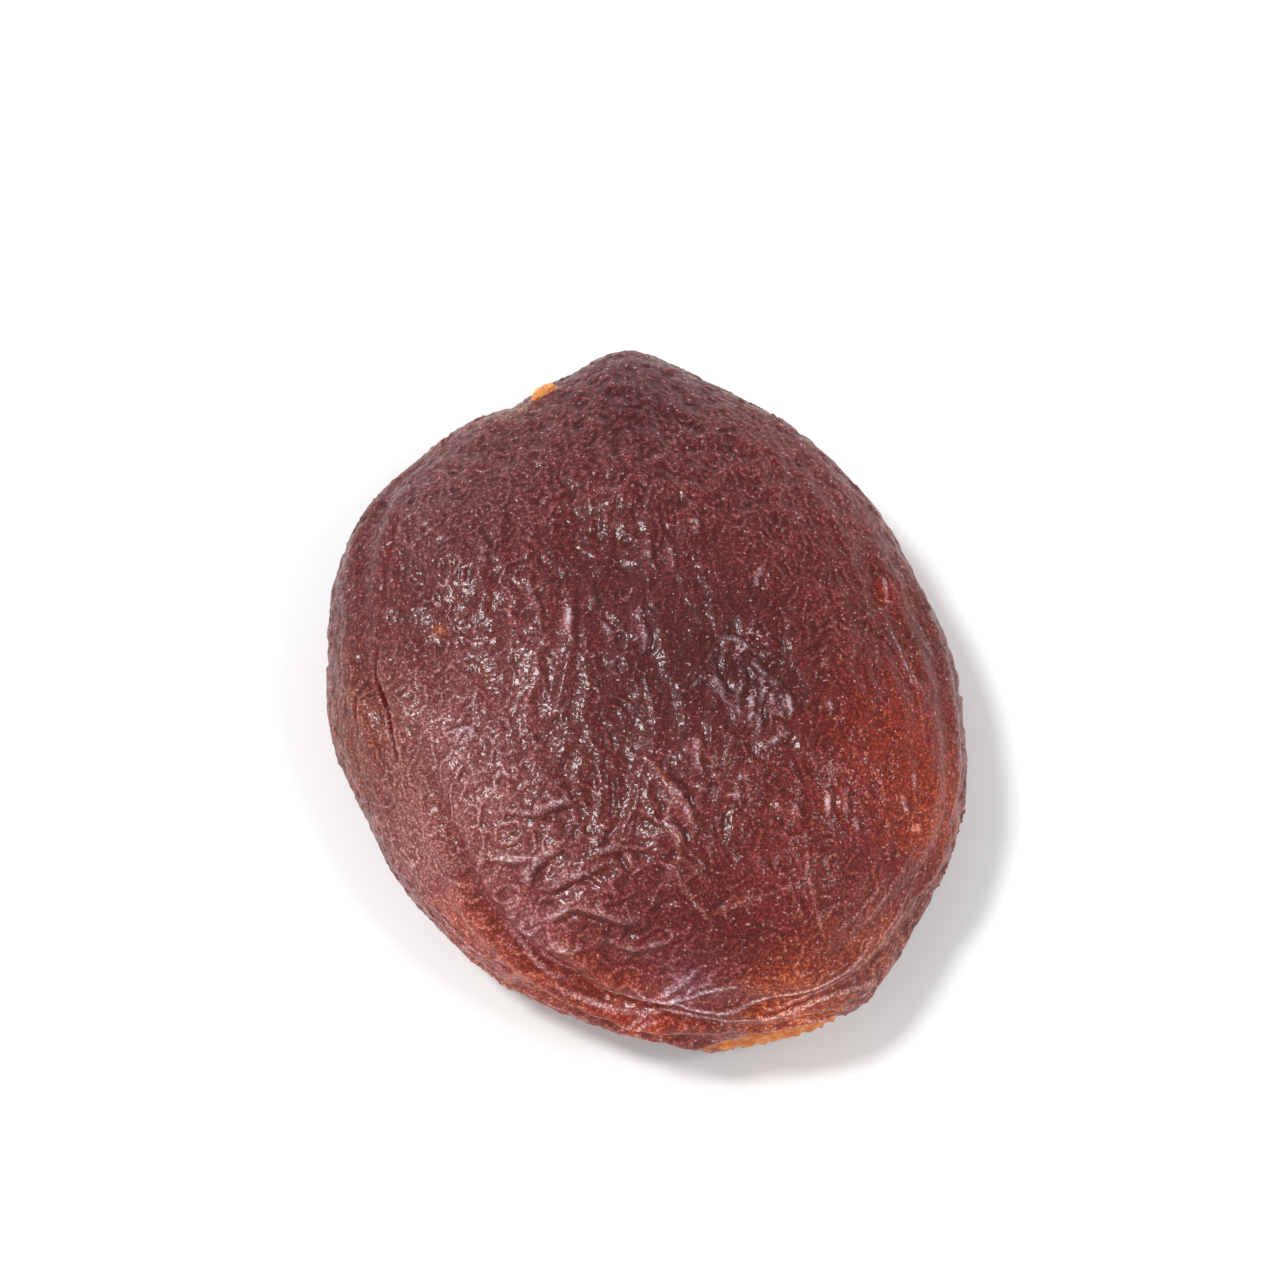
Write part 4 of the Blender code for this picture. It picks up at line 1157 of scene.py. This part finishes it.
def make_skin(collection):
    """The whole skin as one fine mesh, which lies where the solid does."""
    mesh = even_sphere()
    points, angle, level, share = lay_points(read_points(mesh))
    set_points(mesh, points)
    normal = read_points(mesh, "normal")
    solid = solid_relief(points, angle, level, share)
    points -= resting_shift(points + normal * solid[:, None])
    set_points(mesh, points)
    tree = surface_tree(mesh)
    fine = grown_relief(tree, mesh, angle, level)
    lines = add_lines(points, tree, level, fine)
    flesh = flesh_share(points, angle, level)
    pit = pit_share(angle, level)
    fine += flesh_fibres(points, flesh) - PIT_DEPTH * pit
    lines[-1] = np.maximum(lines[-1][0], smooth_step(*PIT_RED, pit)), SLIT_RED
    bulge = bulging(mesh, fine)
    crest = np.clip(np.where(bulge > 0.0, bulge / HIGH_BULGE, -bulge / DEEP_BULGE), -1.0, 1.0)
    crest *= 1.0 - UNDER_CALM * smooth_step(*UNDER_LEVELS, level)
    shaded = fine + SOLID_SHARE * np.minimum(solid, 0.0)
    tint = skin_tint(points, tree, level, shaded, crest, lines)
    # Painted glints: along these lines the crest value is lifted, so pale specks gather there as highlights.
    glint_lines = painted(points, tree, GLINT_LINE_WIDTH, PAINTED_GLINT_LINES)
    outward = np.stack([*plan_place(1.0, angle), np.zeros_like(angle)], axis=1)
    down = outward - (outward * normal).sum(axis=1)[:, None] * normal
    moved = points + normal * (solid + fine)[:, None] + down * overhang(angle, level)[:, None]
    moved[:, 2] = np.maximum(moved[:, 2], 0.0)
    set_points(mesh, moved * MM)
    add_attributes(mesh, tint, flesh * (1.0 - smooth_step(*PIT_HIDES, pit)), crest + GLINT_LINE_LIFT * glint_lines)
    mesh.materials.append(skin_material())
    piece = shown(collection, "apricot_skin", mesh)
    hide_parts("dried_apricot")
    return piece


def make_stub(collection, tree):
    """The stub of pale flesh beside the notch at the stem end: a small torn lump."""
    points = [seen_at(tree, place)[0] for place in STUB_PLACES]
    middle = sum(points, Vector()) / len(points)
    along = (points[-1] - points[0]).normalized()
    normal = tree.find_nearest(middle)[1]
    aside = normal.cross(along).normalized()
    ball = bmesh.new()
    bmesh.ops.create_icosphere(ball, subdivisions=5, radius=1.0)
    for corner in ball.verts:
        way = corner.co.copy()
        lump = 1.0
        for pitch, height, place in STUB_LUMPS:
            lump += height * noise.noise(way * pitch + place)
        corner.co = (middle + along * (way.x * STUB_LENGTH * lump) + aside * (way.y * STUB_RADIUS * lump)
                     + normal * (way.z * STUB_HEIGHT * lump)) * MM
    mesh = bpy.data.meshes.new("stem_stub")
    ball.to_mesh(mesh)
    ball.free()
    mesh.materials.append(stub_material())
    shown(collection, "stem_stub", mesh)


def make_camera(collection):
    """The photo's camera."""
    place, _, _, back = camera_axes()
    camera = bpy.data.objects.new("photo_camera", bpy.data.cameras.new("photo_camera"))
    camera.data.lens = LENS
    camera.data.sensor_width = SENSOR
    camera.data.clip_start = 0.01
    camera.location = place * MM
    camera.rotation_euler = (-back).to_track_quat("-Z", "Y").to_euler()
    collection.objects.link(camera)
    bpy.context.scene.camera = camera


def make_floor(collection):
    """The plain pale floor."""
    mesh = bpy.data.meshes.new("floor")
    side = FLOOR_HALF_SIDE
    corners = [(-side, -side, 0), (side, -side, 0), (side, side, 0), (-side, side, 0)]
    mesh.from_pydata(corners, [], [(0, 1, 2, 3)])
    nodes = Nodes(bpy.data.materials.new("floor_white"))
    nodes.finish(FLOOR_FINISH)
    mesh.materials.append(nodes.owner)
    floor = bpy.data.objects.new("floor", mesh)
    collection.objects.link(floor)


def make_lights(collection):
    """Light from all round, weaker from above, and the soft lights."""
    world = bpy.data.worlds.new("studio")
    nodes = Nodes(world, "Background")
    way = nodes.add("ShaderNodeTexCoord").outputs["Generated"]
    height = nodes.add("ShaderNodeSeparateXYZ", Vector=way).outputs["Z"]
    fade = nodes.add("ShaderNodeMapRange", Value=height)
    strength = filled(nodes, fade, (("To Min", WORLD_SIDE), ("To Max", WORLD_TOP)))[0]
    nodes.finish({"Color": (1.0, 1.0, 1.0), "Strength": strength})
    bpy.context.scene.world = world
    _, right, up, back = camera_axes()
    middle = Vector((0.0, 0.0, FRUIT_MIDDLE_HEIGHT))
    for name, (way, width, power) in SOFT_LIGHTS.items():
        lamp = bpy.data.objects.new(name, bpy.data.lights.new(name, "AREA"))
        lamp.data.shape = "DISK"
        lamp.data.size = width * MM
        lamp.data.energy = power
        offset = right * way[0] + up * way[1] + back * way[2]
        lamp.location = (middle + offset) * MM
        lamp.rotation_euler = (-offset).to_track_quat("-Z", "Y").to_euler()
        collection.objects.link(lamp)


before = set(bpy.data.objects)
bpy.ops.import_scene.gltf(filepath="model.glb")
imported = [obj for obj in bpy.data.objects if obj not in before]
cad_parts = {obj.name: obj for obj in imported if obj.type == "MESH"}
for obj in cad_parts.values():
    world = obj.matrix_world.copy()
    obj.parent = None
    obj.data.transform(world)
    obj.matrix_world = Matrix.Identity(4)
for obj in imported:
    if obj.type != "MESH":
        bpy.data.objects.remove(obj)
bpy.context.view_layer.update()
looks = bpy.data.collections.new("looks")
bpy.context.scene.collection.children.link(looks)
bpy.context.scene.view_settings.view_transform = "Standard"
skin = make_skin(looks)
make_stub(looks, surface_tree(skin.data, MM))
make_camera(looks)
make_floor(looks)
make_lights(looks)
